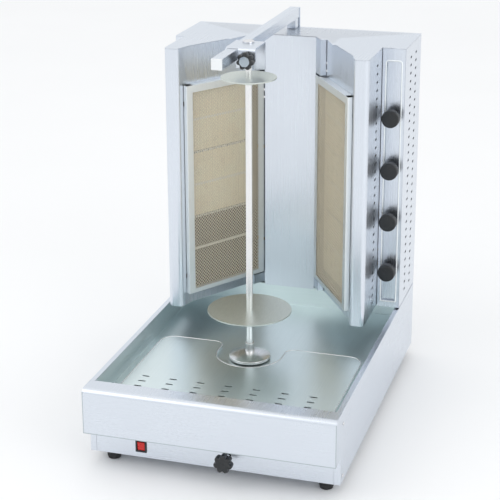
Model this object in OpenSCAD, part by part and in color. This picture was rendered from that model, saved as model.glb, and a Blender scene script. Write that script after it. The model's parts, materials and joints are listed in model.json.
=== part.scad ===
// Upright gas broiler with a motor-driven spit between two burner wings.
// Frame: the table is Z = 0, +Y points to the back, +X to the control side,
// and the origin is below the middle of the body.

/* [Base] */
// Width across the side panels
body_w = 580; // [560:1:700]
// Depth of the side panels
body_d = 808; // [780:1:970]
// Height of the top cover above the table
body_h = 864; // [850:1:1050]
// Height of the tray's rim above the table
rim_z = 200; // [190:1:240]
// Height of a foot
foot_h = 30; // [20:1:40]
// Diameter of a foot
foot_d = 32; // [24:1:40]
// Distance from the body's edges to a foot's axis
foot_inset = 40; // [30:1:60]
// Thickness of the sheet steel
sheet = 1.2; // [1:0.1:1.6]
// Gap between two sheets that lie side by side
seam = 0.3; // [0.2:0.1:0.6]
// Width of the folded rim beside the tray
rim_w = 12; // [10:1:20]
// Depth of the tray below its rim
tray_depth = 54; // [40:1:58]
// Height of the plinth under the fascia
plinth_h = 62; // [50:1:74]
// Width of the flange beside the plinth
plinth_flange = 14; // [10:1:20]
// Distance that the fascia stands in front of the body
fascia_reach = 40; // [30:1:60]
// Depth of the fascia's ledge behind the body's front edge
ledge_d = 10; // [6:1:20]
// Radius of the fascia's top edge
fascia_r = 14; // [6:1:20]

/* [Drip plate] */
// Gap between the drip plate and the tray's sides
plate_gap = 26; // [10:1:40]
// Distance from the tray's front wall to the drip plate
plate_front_gap = 14; // [6:1:30]
// Height of the drip plate above the tray's floor
plate_h = 11; // [8:1:14]
// Distance from the spit's axis to the plate's back edge
plate_back = 50; // [40:1:60]
// Radius of the recess round the drive
notch_r = 80; // [74:1:90]
// Radius of the plate's corners
plate_r = 36; // [20:1:40]
// Radius of the two horns beside the recess
horn_r = 22; // [12:1:26]
// Number of slots in a row
slot_cols = 7; // [3:1:7]
// Distance between slots in a row
slot_pitch_x = 67; // [50:1:67]
// Number of rows of slots
slot_rows = 3; // [1:1:3]
// Distance between the rows
slot_pitch_y = 27; // [20:1:30]
// Distance from the plate's front edge to the first row
slot_front = 72; // [40:1:80]
// Length of a drain slot
slot_l = 18; // [10:1:24]
// Width of a drain slot
slot_w = 5; // [3:1:8]

/* [Housing] */
// Depth of the housing behind the wings
housing_d = 192; // [180:1:200]
// Gap between the base's rim and the housing
housing_gap = 3; // [2:0.5:6]
// Length of an air slot
vent_l = 16; // [10:1:18]
// Width of an air slot
vent_w = 5.5; // [4:0.5:7]
// Distance between air slots
vent_pitch = 20; // [16:1:26]
// Distance from the housing's lower edge to the first air slot
vent_low = 28; // [20:1:40]
// Distance from the top cover to the last air slot
vent_high = 30; // [24:1:60]
// Distance between the two rows of air slots in a housing side
vent_rows_gap = 62; // [40:1:90]

/* [Wings and burners] */
// Sideways offset of the spit from the body's middle
spit_x = -17.5; // [-25:0.5:-14]
// Distance from the spit's axis to the body's back
spit_to_back = 466; // [440:1:480]
// Distance from the spit's axis to a wing's outer face
wing_half = 250; // [246:0.5:256]
// Gap between a wing and the tray's rim
wing_gap = 5; // [4:1:12]
// Width of a wing's nose
nose_w = 37.5; // [30:0.5:44]
// Distance from a wing's nose to the body's back
nose_to_back = 342; // [336:1:350]
// Radius of a nose's edges
nose_r = 11; // [6:1:13]
// Distance from the spit's plane to the start of the burner wall
wall_u = 202; // [198:1:206]
// Distance from the start of the burner wall to the body's back
wall_to_back = 299; // [290:1:302]
// Angle between a burner wall and the depth direction
wall_angle = 32.1; // [30:0.1:34]
// Length of the burner wall
wall_l = 190; // [180:1:194]
// Half width of the rear deflector
deflector_half = 66; // [60:1:70]
// Distance that the deflector's side strips stand in front of the burner wall
strip_reach = 16; // [14:0.5:17]
// Width of a ceramic tile
tile_w = 202; // [180:1:203]
// Distance between ceramic tiles
tile_pitch = 83.4; // [78:0.1:84]
// Width of the rib between ceramic tiles
tile_rib = 4.4; // [3:0.2:8]
// Thickness of a ceramic tile
tile_t = 12; // [10:1:14]
// Tiles in one burner
tiles_per_burner = 3; // [1:1:3]
// Height of the lowest tile above the tray's rim
tile_low = 61; // [50:1:80]
// Depth of a burner's gas chamber
burner_d = 40; // [30:1:44]
// Height of a burner frame's lower edge above the tray's rim
frame_low = 35; // [30:1:50]
// Width of the frame's lower border
frame_low_border = 11; // [8:1:14]
// Width of the frame's upper border
frame_high_border = 18; // [12:1:24]
// Width of the frame's side borders
frame_side = 18; // [14:1:20]
// Distance from a frame's face to the burner wall
frame_reach = 18.2; // [17.5:0.1:20]
// Height of a frame
frame_h = 535; // [520:1:545]
// Length of a frame along the burner wall
frame_l = 247; // [240:1:248]
// Distance that a frame reaches past the burner wall's start
frame_lead = 22; // [18:1:24]

/* [Gas] */
// Height of the lowest tap above the tray's rim
tap_low = 104; // [90:1:120]
// Distance between taps
tap_pitch = 131; // [120:1:140]
// Diameter of a tap's knob
tap_knob_d = 43; // [36:1:46]
// Distance that a tap's knob stands in front of the panel
tap_reach = 35; // [32:1:40]
// Thickness of a tap's knob
tap_knob_t = 22; // [16:1:24]
// Diameter of a tap's stem
tap_stem_d = 8; // [6:1:10]
// Travel of a tap when it is pushed
tap_push = 4; // [2:0.5:6]
// Diameter of the manifold
manifold_d = 18; // [14:1:22]
// Diameter of a supply pipe
pipe_d = 8; // [6:1:10]
// Diameter of the gas inlet's thread
inlet_d = 21; // [17:1:27]

/* [Spit] */
// Diameter of the spit
spit_d = 16; // [12:1:20]
// Height of the spit's top
spit_top = 872; // [868:1:876]
// Diameter of the lower disc
lower_disc_d = 200; // [160:1:240]
// Height of the lower disc
lower_disc_z = 269; // [250:1:300]
// Diameter of the upper disc
upper_disc_d = 128; // [100:1:160]
// Height of the upper disc
upper_disc_z = 835; // [780:1:840]
// Thickness of a disc
disc_t = 3; // [2:0.5:4]
// Diameter of the drive's domed plate
dome_d = 100; // [96:1:108]
// Height of the drive's domed plate
dome_h = 17; // [14:1:20]
// Travel of the carriage away from the burners
travel_out = 10; // [5:1:12]
// Travel of the carriage towards the burners
travel_in = 20; // [10:1:20]
// Radial gap of a running fit
running = 0.05; // [0.02:0.01:0.08]

/* [Arm] */
// Width of the arm's square tube
arm_w = 25; // [20:1:28]
// Wall of the arm's tube
arm_wall = 1.5; // [1:0.5:2.5]
// Distance from the top cover to the arm
arm_gap = 25; // [20:1:30]
// Sideways distance from the spit's axis to the arm's middle
arm_offset = 19.5; // [19.5:0.5:24]
// Distance that the arm reaches in front of the spit's axis
arm_reach = 169; // [140:1:220]
// Width of the clamp block
clamp_w = 69; // [66:1:80]
// Thickness of the clamp block's sheet
clamp_t = 2.5; // [2:0.5:3]
// Distance from the spit's axis to the clamp block's front
clamp_front = 62; // [50:1:80]
// Distance from the spit's axis to the clamp block's back
clamp_back = 18; // [16:1:30]
// Height of the clamp block's front flange
clamp_front_h = 31; // [30:1:40]
// Height of the clamp block's back flange
clamp_back_h = 64; // [50:1:66]
// Diameter of the pivot pin
pin_d = 7; // [6:0.5:7]
// Diameter of the pivot pin's cap
pin_cap_d = 27; // [20:1:30]
// Diameter of the clamp knob
clamp_knob_d = 41; // [36:1:43]

/* [Controls] */
// Sideways place of the carriage knob
carriage_knob_x = 37; // [20:1:60]
// Diameter of the carriage knob
carriage_knob_d = 44; // [36:1:48]
// Thickness of a star knob
star_t = 22; // [16:1:22]
// Distance that the carriage knob stands in front of the body
knob_reach = 50; // [48:1:60]
// Distance that the gas inlet stands behind the body
inlet_reach = 50; // [30:1:60]
// Sideways place of the switch
switch_x = -168; // [-200:1:-120]
// Width of the switch's bezel
switch_w = 26; // [20:1:30]
// Height of the switch's bezel
switch_h = 31; // [26:1:36]

/* [Hidden] */
$fn = 48;

STEEL = [0.80, 0.82, 0.85];
DARK_STEEL = [0.45, 0.45, 0.46];
CHROME = [0.88, 0.88, 0.90];
BRASS = [0.72, 0.58, 0.30];
CERAMIC = [0.78, 0.68, 0.50];
BLACK = [0.06, 0.06, 0.07];
RED = [0.75, 0.08, 0.06];
WHITE = [0.92, 0.92, 0.92];

side_x = body_w / 2;
front_y = -body_d / 2;
back_y = body_d / 2;
inner_x = side_x - sheet - seam;
rim_x = side_x - rim_w;
floor_z = rim_z - tray_depth;
fascia_z = foot_h + plinth_h;
fascia_y = front_y - fascia_reach;
fascia_back = front_y + ledge_d;
fascia_lip = 40;
housing_y = back_y - housing_d;
housing_z = rim_z + housing_gap;
wall_top = body_h - sheet - seam;
spit_y = back_y - spit_to_back;
wing_z = rim_z + wing_gap;
nose_y = back_y - nose_to_back;

// Along the burner wall: x runs from the nose to the back, y towards the spit
wall_y = back_y - wall_to_back;
strip_from = wall_l + 4;
strip_to = (wall_u - deflector_half - strip_reach * cos(wall_angle)) / sin(wall_angle);
deflector_y = wall_y + strip_to * cos(wall_angle) - strip_reach * sin(wall_angle);
tile_z = rim_z + tile_low;
burner_h = tiles_per_burner * tile_pitch;
tile_from = 1;
burner_wall = 1.5;
burner_from = tile_from - 4;
burner_to = tile_from + tile_w + 4;
skirt_reach = strip_reach - sheet - 1.2;
skirt_low = tile_z - 14;
skirt_high = tile_z + 2 * burner_h + 3;
frame_z = rim_z + frame_low;
frame_top = frame_z + frame_h;
frame_from = -frame_lead;
frame_to = frame_from + frame_l;
open_from = frame_from + frame_side;
open_to = frame_to - frame_side;
open_z = frame_z + frame_low_border;
open_top = frame_top - frame_high_border;
frame_back = frame_reach - sheet;
mesh_t = 0.8;
mesh_margin = 5;
stub_l = 45;
stub_d = 26;
stub_at = (burner_from + burner_to) / 2;
stub_u = wall_u - stub_at * sin(wall_angle) + (burner_d - 4) * cos(wall_angle);
stub_y = wall_y + stub_at * cos(wall_angle) + (burner_d - 4) * sin(wall_angle);

panel_gap = 1;
panel_from = spit_x + wing_half + panel_gap;
panel_to = inner_x;
tap_x = (panel_from + panel_to) / 2;
channel_half = 19.5;
channel_d = 8;
channel_low = housing_z + 15;
channel_top = body_h - 31;
channel_r = 6;
valve_y = housing_y + channel_d + sheet + 10;
valve_d = 30;
valve_w = 26;
manifold_y = valve_y + valve_d + 4 + manifold_d / 2;
inlet_z = rim_z + 80;

plate_z = floor_z + plate_h;
tray_x = rim_x;
tray_front = fascia_back + seam + sheet;
tray_back = deflector_y + 5;
plate_x = tray_x - plate_gap;
plate_y = tray_front + plate_front_gap;
plate_end = spit_y + plate_back;
shaft_d = spit_d;
shaft_hole_r = shaft_d / 2 + 4;
dome_z = floor_z + 3;
hub_r = spit_d / 2 + 3;
hub_top = dome_z + dome_h + 21;
rod_z = dome_z + dome_h + 2;
carriage_z = foot_h + 74;
carriage_t = 3;
carriage_half_w = 110;
carriage_half_d = 50;
rail_x = 100;
gearbox_h = 44;
carriage_knob_z = foot_h + plinth_h / 2 + 5;
carriage_knob_y = front_y - knob_reach;

arm_x = spit_x - arm_offset;
arm_z = body_h + arm_gap;
arm_top = arm_z + arm_w;
arm_front = spit_y - arm_reach;
cap_t = 4;
clamp_top = arm_top + 0.5 + clamp_t;
clamp_y0 = spit_y - clamp_front;
clamp_y1 = spit_y + clamp_back;
clamp_x0 = spit_x - clamp_w / 2;
clamp_knob_x = spit_x + 15;
clamp_r = 8;
clamp_knob_z = arm_z + 2;
screw_d = 8;
bush_r = pin_d / 2 + 2.4;
pin_grip = 14;

// Electrics
gland_x = -side_x + 70;
gland_z = foot_h + 42;
gland_d = 18;
gland_bore = 8;
switch_z = foot_h + plinth_h / 2 - 2;
rock_angle = 7;
terminal_w = 80;
terminal_d = 30;
terminal_h = 26;
terminal_pitch = 15;
motor_r = 28;
motor_l = 105;
gearbox_w = 90;
gearbox_d = 70;

// Air slots
wing_vent_y = (nose_y + housing_y) / 2 + 22;
hook_z = [frame_z + 40, frame_top - 52];
vent_count = floor((body_h - vent_high - housing_z - vent_low) / vent_pitch) + 1;
vent_z0 = housing_z + vent_low;

// ---------- helpers ----------

// A box from its two far corners
module block(low, high) {
    translate(low) cube(high - low);
}

// A round bar along Y
module bar_y(r, from_y, to_y) {
    translate([0, from_y, 0]) rotate([-90, 0, 0]) cylinder(r = r, h = to_y - from_y);
}

// Children drawn from the spit's axis, mirrored for the left wing
module wing_side(side) {
    translate([spit_x, 0, 0])
        if (side > 0) children();
        else mirror([1, 0, 0]) children();
}

// Children drawn along the burner wall
module on_wall() {
    translate([wall_u, wall_y, 0]) rotate([0, 0, 90 + wall_angle]) children();
}

// A flat slot with round ends, lying along X
module slot_2d(l, w) {
    square([l - w, w], center = true);
    for (end = [-1, 1]) translate([end * (l - w) / 2, 0]) circle(d = w, $fn = 16);
}

// A column of air slots, drawn as depth by height
module vent_column() {
    for (row = [0 : vent_count - 1])
        translate([0, vent_z0 + row * vent_pitch]) slot_2d(vent_l, vent_w);
}

// Plan of a wing, drawn inset by the given amount
module wing_plan(inset) {
    outer = wing_half - inset;
    nose_in = wing_half - nose_w + inset;
    nose_front = nose_y + inset;
    rear = inset > 0 ? housing_y + 1 : housing_y;
    polygon([
        [outer, rear], [outer, nose_y + nose_r], [wing_half - nose_r, nose_front],
        [wing_half - nose_w + nose_r, nose_front], [nose_in, nose_y + nose_r],
        wall_point(0, -inset) + [inset / 2, 0], wall_point(wall_l, -inset),
        wall_point(wall_l + inset, -inset - (inset > 0 ? 40 : 10)),
    ]);
    for (edge = [wing_half - nose_r, wing_half - nose_w + nose_r])
        translate([edge, nose_y + nose_r]) circle(r = nose_r - inset);
}

// A point of the plan, given along the burner wall and in front of it
function wall_point(along, reach) = [
    wall_u - along * sin(wall_angle) - reach * cos(wall_angle),
    wall_y + along * cos(wall_angle) - reach * sin(wall_angle)];

// A knob with lobes, its back at Z = 0
module star(d, t) {
    lobes = 7;
    lobe_r = d * 0.12;
    cylinder(d = d * 0.8, h = t);
    for (i = [0 : lobes - 1]) rotate([0, 0, i * 360 / lobes])
        translate([d / 2 - lobe_r, 0, 0]) cylinder(r = lobe_r, h = t - 2, $fn = 24);
}

// ---------- base ----------

module base_floor() color(STEEL)
    block([-inner_x, front_y + sheet + seam, foot_h],
        [inner_x, back_y - sheet - seam, foot_h + sheet]);

module side_panel(side) color(STEEL)
    if (side > 0) side_panel_right();
    else mirror([1, 0, 0]) side_panel_right();

module side_panel_right() {
    block([side_x - sheet, front_y, foot_h], [side_x, back_y, rim_z]);
    block([side_x - plinth_flange, front_y, foot_h + sheet + seam],
        [side_x, front_y + sheet, fascia_z - seam]);
    block([rim_x, fascia_back + seam, rim_z - sheet], [side_x, back_y - sheet - seam, rim_z]);
}

module left_side_panel() side_panel(-1);
module right_side_panel() side_panel(1);

module back_panel() color(STEEL)
    translate([0, back_y, 0]) rotate([90, 0, 0]) linear_extrude(sheet) difference() {
        translate([-inner_x, foot_h]) square([2 * inner_x, wall_top - foot_h]);
        translate([tap_x, inlet_z]) circle(d = inlet_d + 3);
        translate([gland_x, gland_z]) circle(d = gland_d + 1);
        for (col = [-3 : 3]) for (row = [0 : 5])
            translate([col * 40, body_h - 90 - row * vent_pitch]) slot_2d(vent_l * 1.6, vent_w);
    }

module fascia_profile(inset) {
    top = rim_z - inset;
    front = fascia_y + inset;
    r = fascia_r - inset;
    polygon([
        [front, fascia_z + inset], [front, top - r], [front + r, top],
        [fascia_back - inset, top], [fascia_back - inset, fascia_z + inset]]);
    translate([front + r, top - r]) circle(r = r);
}

module front_fascia() color(STEEL)
    difference() {
        union() {
            rotate([90, 0, 90]) translate([0, 0, -side_x]) linear_extrude(2 * side_x)
                difference() {
                    fascia_profile(0);
                    fascia_profile(sheet);
                }
            for (x = [-side_x, side_x - sheet])
                translate([x, 0, 0]) rotate([90, 0, 90]) linear_extrude(sheet) fascia_profile(0);
        }
        block([-side_x - 1, front_y - seam, fascia_z - 1],
            [side_x + 1, fascia_back + 1, rim_z - fascia_lip]);
        for (x = [-side_x - 1, inner_x])
            block([x, front_y - seam, fascia_z - 1],
                [x + sheet + seam + 1, fascia_back + 1, rim_z + 1]);
    }

module plinth_panel() color(STEEL)
    translate([0, front_y + sheet, 0]) rotate([90, 0, 0]) linear_extrude(sheet) difference() {
        half = side_x - plinth_flange - seam;
        low = foot_h + sheet + seam;
        translate([-half, low]) square([2 * half, fascia_z - seam - low]);
        translate([carriage_knob_x, carriage_knob_z]) circle(d = screw_d + 4);
        translate([switch_x, switch_z]) square([switch_w - 3, switch_h - 3], center = true);
    }

module drip_basin() color(STEEL)
    difference() {
        block([-tray_x - sheet, tray_front - sheet, floor_z - sheet],
            [tray_x + sheet, tray_back + sheet, rim_z - sheet - seam]);
        difference() {
            block([-tray_x, tray_front, floor_z], [tray_x, tray_back, rim_z]);
            shaft_slot(shaft_hole_r + sheet, floor_z - 1, floor_z + 6);
        }
        shaft_slot(shaft_hole_r, floor_z - sheet - 1, floor_z + 7);
    }

// The stadium that the shaft travels in
module shaft_slot(r, low, high) {
    for (y = [spit_y - travel_out, spit_y + travel_in])
        translate([spit_x, y, low]) cylinder(r = r, h = high - low);
    block([spit_x - r, spit_y - travel_out, low], [spit_x + r, spit_y + travel_in, high]);
}

// Plan of the drip plate, drawn inset by the given amount
module plate_plan(inset) {
    half = plate_x - inset;
    low = plate_y + inset;
    high = plate_end - inset;
    notch = notch_r + inset;
    horn = horn_r - inset;
    horn_x = notch_r + horn_r;
    corner = plate_r - inset;
    difference() {
        union() {
            translate([-half, low]) square([2 * half, high - corner - low]);
            translate([-half + corner, low]) square([2 * (half - corner), high - low]);
            for (x = [-half + corner, half - corner])
                translate([x, high - corner]) circle(r = corner);
        }
        translate([spit_x, spit_y]) circle(r = notch, $fn = 96);
        translate([spit_x - horn_x, spit_y]) difference() {
            square([2 * horn_x, plate_back + 1]);
            for (x = [0, 2 * horn_x])
                translate([x, plate_back - horn_r]) circle(r = horn);
            translate([-1, -1]) square([1 + horn, plate_back - horn_r + 1]);
            translate([2 * horn_x - horn, -1]) square([1 + horn, plate_back - horn_r + 1]);
        }
    }
}

module drip_plate() color(STEEL) {
    translate([0, 0, plate_z - 1.5]) linear_extrude(1.5) difference() {
        plate_plan(0);
        for (col = [0 : slot_cols - 1]) for (row = [0 : slot_rows - 1])
            translate([spit_x + 7 + (col - (slot_cols - 1) / 2) * slot_pitch_x,
                plate_y + slot_front + row * slot_pitch_y]) slot_2d(slot_l, slot_w);
    }
    translate([0, 0, floor_z + seam]) linear_extrude(plate_h - seam - 1) difference() {
        plate_plan(0);
        plate_plan(sheet);
    }
}

module feet() color(BLACK)
    for (x = [-1, 1]) for (y = [-1, 1])
        translate([x * (side_x - foot_inset), y * (back_y - foot_inset), 0]) {
            cylinder(d1 = foot_d - 3, d2 = foot_d, h = 4);
            translate([0, 0, 4]) cylinder(d = foot_d, h = foot_h - 4);
        }

// ---------- housing ----------

module housing_side_sheet() {
    mid = housing_d / 2;
    translate([side_x - sheet, 0, 0]) rotate([90, 0, 90]) linear_extrude(sheet) difference() {
        translate([housing_y, housing_z]) square([housing_d, wall_top - housing_z]);
        for (row = [-1, 1])
            translate([housing_y + mid + row * vent_rows_gap / 2, 0]) vent_column();
    }
}

module left_housing_side() color(STEEL) {
    mirror([1, 0, 0]) housing_side_sheet();
    strip = spit_x - wing_half - seam;
    block([-side_x, housing_y, housing_z], [strip, housing_y + sheet, wall_top]);
    block([-side_x, housing_y, housing_z], [strip, tray_back, housing_z + sheet]);
}

module right_housing_side() color(STEEL) housing_side_sheet();

module control_panel() color(STEEL) {
    low = housing_z;
    difference() {
        union() {
            block([panel_from, housing_y, low], [panel_to, housing_y + sheet, wall_top]);
            block([panel_from, housing_y, low], [panel_from + sheet, housing_y + 24, wall_top]);
            block([panel_from, housing_y, low], [panel_to, tray_back, low + sheet]);
            channel(channel_half + sheet, housing_y, housing_y + channel_d + sheet, sheet);
        }
        channel(channel_half, housing_y - 1, housing_y + channel_d, 0);
        for (tap = [1 : 4])
            translate([tap_x, 0, tap_z(tap)]) bar_y(tap_stem_d / 2 + 4, housing_y, housing_y + 20);
    }
}

// The pressed channel behind the taps
module channel(half, from_y, to_y, grow) {
    r = channel_r + grow;
    low = channel_low - grow;
    top = channel_top + grow;
    block([tap_x - half, from_y, low], [tap_x + half, to_y, top - r]);
    block([tap_x - half + r, from_y, low], [tap_x + half - r, to_y, top]);
    for (x = [tap_x - half + r, tap_x + half - r])
        translate([x, 0, top - r]) bar_y(r, from_y, to_y);
}

function tap_z(tap) = rim_z + tap_low + (4 - tap) * tap_pitch;

module top_cover() color(STEEL)
    translate([0, 0, body_h - sheet]) linear_extrude(sheet) {
        translate([-side_x, housing_y]) square([side_x + spit_x - deflector_half - 60, housing_d]);
        translate([spit_x + deflector_half + 60, housing_y])
            square([side_x - spit_x - deflector_half - 60, housing_d]);
        translate([-side_x, deflector_y]) square([2 * side_x, back_y - deflector_y]);
        for (side = [-1, 1]) translate([spit_x, 0]) mirror([side < 0 ? 1 : 0, 0]) {
            wing_plan(0);
            polygon([wall_point(wall_l, 0), wall_point(strip_from, strip_reach),
                wall_point(strip_to, strip_reach), [deflector_half, deflector_y + 1],
                [deflector_half + 61, deflector_y + 1], [deflector_half + 61, housing_y]]);
        }
    }

module rear_deflector() color(STEEL) {
    low = rim_z - 3;
    block([spit_x - deflector_half, deflector_y, low],
        [spit_x + deflector_half, deflector_y + sheet, wall_top]);
    for (side = [-1, 1]) wing_side(side) on_wall() {
        for (part = [[wing_z + sheet + seam, frame_z - 4], [frame_top + 4, wall_top]]) {
            block([strip_from, strip_reach - sheet, part[0]], [strip_to, strip_reach, part[1]]);
            block([strip_from, seam, part[0]], [strip_from + sheet, strip_reach, part[1]]);
        }
    }
}

// ---------- wings and burners ----------

module wing(side) color(STEEL) wing_side(side) {
    difference() {
        translate([0, 0, wing_z]) linear_extrude(wall_top - wing_z) wing_plan(0);
        translate([0, 0, wing_z + sheet]) linear_extrude(wall_top - wing_z) wing_plan(sheet);
        on_wall() block([burner_from - 1, -4, skirt_low - 2], [wall_l + 20, 4, skirt_high + 2]);
        translate([wing_half - 2 * sheet, 0, 0]) rotate([90, 0, 90]) linear_extrude(4 * sheet)
            translate([wing_vent_y, 0]) vent_column();
        for (z = hook_z) on_wall() block([-24, -4, z], [-14, 10, z + 12]);
    }
    translate([0, 0, wing_z]) linear_extrude(sheet) polygon([
        wall_point(wall_l - 4, -1), [deflector_half + 4, deflector_y + sheet + seam],
        [deflector_half + 4, tray_back], [wing_half, tray_back], [wing_half, housing_y - 1]]);
}

module left_wing() wing(-1);
module right_wing() wing(1);

module burner_frame(side) color(WHITE) wing_side(side) on_wall() {
    difference() {
        union() {
            block([frame_from, frame_back, frame_z], [frame_to, frame_reach, frame_top]);
            block([frame_from, 6.5, frame_z], [frame_from + sheet, frame_reach, frame_top]);
            for (z = [frame_z, frame_top - sheet])
                block([seam, seam, z], [strip_from - 1, frame_reach, z + sheet]);
        }
        block([open_from, frame_back - 1, open_z], [open_to, frame_reach + 1, open_top]);
    }
}

module left_frame() burner_frame(-1);
module right_frame() burner_frame(1);

module guard_mesh(side) color(DARK_STEEL) wing_side(side) on_wall() {
    cols = 8;
    rows = 20;
    from_x = open_from - mesh_margin;
    from_z = open_z - mesh_margin;
    w = open_to - open_from + 2 * mesh_margin;
    h = open_top - open_z + 2 * mesh_margin;
    pitch_x = w / cols;
    pitch_z = h / rows;
    wire = 2;
    translate([from_x, frame_back - seam, from_z]) rotate([90, 0, 0]) linear_extrude(mesh_t)
        difference() {
            square([w, h]);
            for (col = [0 : cols - 1]) for (row = [0 : rows - 1])
                translate([col * pitch_x + wire, row * pitch_z + wire])
                    square([pitch_x - 2 * wire, pitch_z - 2 * wire]);
        }
}

module left_mesh() guard_mesh(-1);
module right_mesh() guard_mesh(1);

// A burner box with its tile seats, gas chamber, inlet and side skirts
module burner(side, level) color(DARK_STEEL) wing_side(side) {
    low = tile_z + level * burner_h + (level > 0 ? seam / 2 : 0);
    high = low + burner_h - seam / 2;
    body_low = level > 0 ? low : skirt_low + burner_wall + seam;
    body_high = level > 0 ? skirt_high - burner_wall - seam : high;
    difference() {
        union() {
            on_wall() block([burner_from, -burner_d, body_low], [burner_to, -0.5, body_high]);
            for (x = [burner_from, burner_to - burner_wall])
                on_wall() block([x, -1, body_low], [x + burner_wall, skirt_reach, body_high]);
            skirt_z = level > 0 ? body_high - burner_wall : body_low;
            on_wall() block([burner_from, -1, skirt_z],
                [burner_to, skirt_reach, skirt_z + burner_wall]);
            translate([stub_u, stub_y, low + burner_h / 2]) bar_y(stub_d / 2, 0, stub_l);
        }
        for (i = [0 : tiles_per_burner - 1]) {
            z = low + i * tile_pitch + tile_rib / 2;
            on_wall() block([tile_from, -tile_t - 1, z], [tile_from + tile_w, 1, z + tile_pitch - tile_rib]);
        }
        on_wall() block([tile_from + 4, 2 - burner_d, low + 6],
            [tile_from + tile_w - 4, -tile_t, high - 6]);
        translate([stub_u, stub_y, low + burner_h / 2])
            bar_y(stub_d / 2 - 2, -stub_d, stub_l - 2);
    }
}

module left_lower_burner() burner(-1, 0);
module left_upper_burner() burner(-1, 1);
module right_lower_burner() burner(1, 0);
module right_upper_burner() burner(1, 1);

module ceramics(side) color(CERAMIC) wing_side(side) on_wall()
    for (level = [0, 1]) for (i = [0 : tiles_per_burner - 1]) {
        low = tile_z + level * burner_h + (level > 0 ? seam / 2 : 0);
        z = low + i * tile_pitch + tile_rib / 2;
        block([tile_from + seam, -tile_t - 0.8, z + seam],
            [tile_from + tile_w - seam, -0.8, z + tile_pitch - tile_rib - seam]);
    }

module left_ceramics() ceramics(-1);
module right_ceramics() ceramics(1);

// ---------- gas ----------

module gas_manifold() color(BRASS)
    difference() {
        union() {
            translate([tap_x, manifold_y, inlet_z])
                cylinder(d = manifold_d, h = tap_z(1) - inlet_z + 30);
            translate([tap_x, manifold_y, inlet_z]) sphere(d = manifold_d + 2);
            translate([tap_x, 0, inlet_z]) bar_y(manifold_d / 2, manifold_y, back_y - 16);
            for (tap = [1 : 4])
                translate([tap_x, 0, tap_z(tap)]) bar_y(5, valve_y + valve_d + seam, manifold_y);
        }
        translate([tap_x, manifold_y, inlet_z])
            cylinder(d = manifold_d - 4, h = tap_z(1) - inlet_z + 28);
        translate([tap_x, 0, inlet_z]) bar_y(manifold_d / 2 - 2, manifold_y, back_y);
    }

module gas_valves() color(BRASS)
    for (tap = [1 : 4]) translate([tap_x, 0, tap_z(tap)]) difference() {
        union() {
            block([-valve_w / 2, valve_y, -valve_w / 2], [valve_w / 2, valve_y + valve_d, valve_w / 2]);
            bar_y(9, valve_y - 8, valve_y + 1);
        }
        bar_y(tap_stem_d / 2 + running, valve_y - 9, valve_y + valve_d - 6);
    }

module gas_inlet() color(BRASS)
    translate([tap_x, 0, inlet_z]) difference() {
        union() {
            bar_y(inlet_d / 2, back_y - 15, back_y + inlet_reach);
            bar_y(inlet_d / 2 + 6, back_y + seam, back_y + 10, $fn = 6);
        }
        bar_y(inlet_d / 2 - 3, back_y - 16, back_y + inlet_reach + 1);
    }

// Pipe from each valve to its burner, with a round elbow at each bend
module supply_pipes() color(BRASS)
    for (tap = [1 : 4]) {
        side = tap % 2 == 1 ? 1 : -1;
        level = tap < 3 ? 1 : 0;
        end_x = spit_x + side * stub_u;
        end_z = tile_z + (level + 0.5) * burner_h;
        lane_y = housing_y + 73 + 15 * tap;
        start_x = tap_x - valve_w / 2 - seam;
        port_y = valve_y + valve_d / 2;
        turn_x = start_x - 22;
        route = [[start_x, port_y, tap_z(tap)], [turn_x, port_y, tap_z(tap)],
            [turn_x, lane_y, tap_z(tap)], [end_x, lane_y, tap_z(tap)],
            [end_x, lane_y, end_z], [end_x, stub_y + stub_l + seam, end_z]];
        for (i = [0 : len(route) - 2]) pipe(route[i], route[i + 1]);
        for (i = [1 : len(route) - 2]) translate(route[i]) sphere(d = pipe_d + 2);
    }

// A straight round pipe between two points that differ in one direction
module pipe(from, to) {
    run = to - from;
    turn = run[0] != 0 ? [0, run[0] > 0 ? 90 : -90, 0]
        : run[1] != 0 ? [run[1] > 0 ? -90 : 90, 0, 0] : [run[2] > 0 ? 0 : 180, 0, 0];
    translate(from) rotate(turn) cylinder(d = pipe_d, h = norm(run));
}

module tap_stem(tap) color(DARK_STEEL)
    translate([tap_x, 0, tap_z(tap)])
        bar_y(tap_stem_d / 2, housing_y - tap_reach + 6, valve_y + valve_d - 8 - tap_push);

module tap_knob(tap) color(BLACK)
    translate([tap_x, 0, tap_z(tap)]) difference() {
        face = housing_y - tap_reach;
        union() {
            bar_y(tap_knob_d / 2 - 2, face, face + 2);
            bar_y(tap_knob_d / 2, face + 2, face + tap_knob_t);
            bar_y(tap_stem_d / 2 + 3, face + tap_knob_t - 1, face + tap_knob_t + 5);
        }
        bar_y(tap_stem_d / 2 + running, face + 5, face + tap_knob_t + 6);
        block([-1, face - 1, tap_knob_d / 2 - 12], [1, face + 0.6, tap_knob_d / 2 - 3]);
    }

module tap_stem_1() tap_stem(1);
module tap_stem_2() tap_stem(2);
module tap_stem_3() tap_stem(3);
module tap_stem_4() tap_stem(4);
module tap_knob_1() tap_knob(1);
module tap_knob_2() tap_knob(2);
module tap_knob_3() tap_knob(3);
module tap_knob_4() tap_knob(4);

// ---------- electrics and drive ----------

module power_gland() color(BLACK)
    translate([gland_x, 0, gland_z]) difference() {
        union() {
            bar_y(gland_d / 2, back_y - 12, back_y + 12);
            bar_y(gland_d / 2 + 4, back_y + seam, back_y + 6);
            bar_y(gland_d / 2 + 4, back_y - sheet - seam - 5, back_y - sheet - seam);
            bar_y(gland_d / 2 - 2, back_y + 12, back_y + 22);
        }
        bar_y(gland_bore / 2, back_y - 13, back_y + 23);
    }

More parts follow.
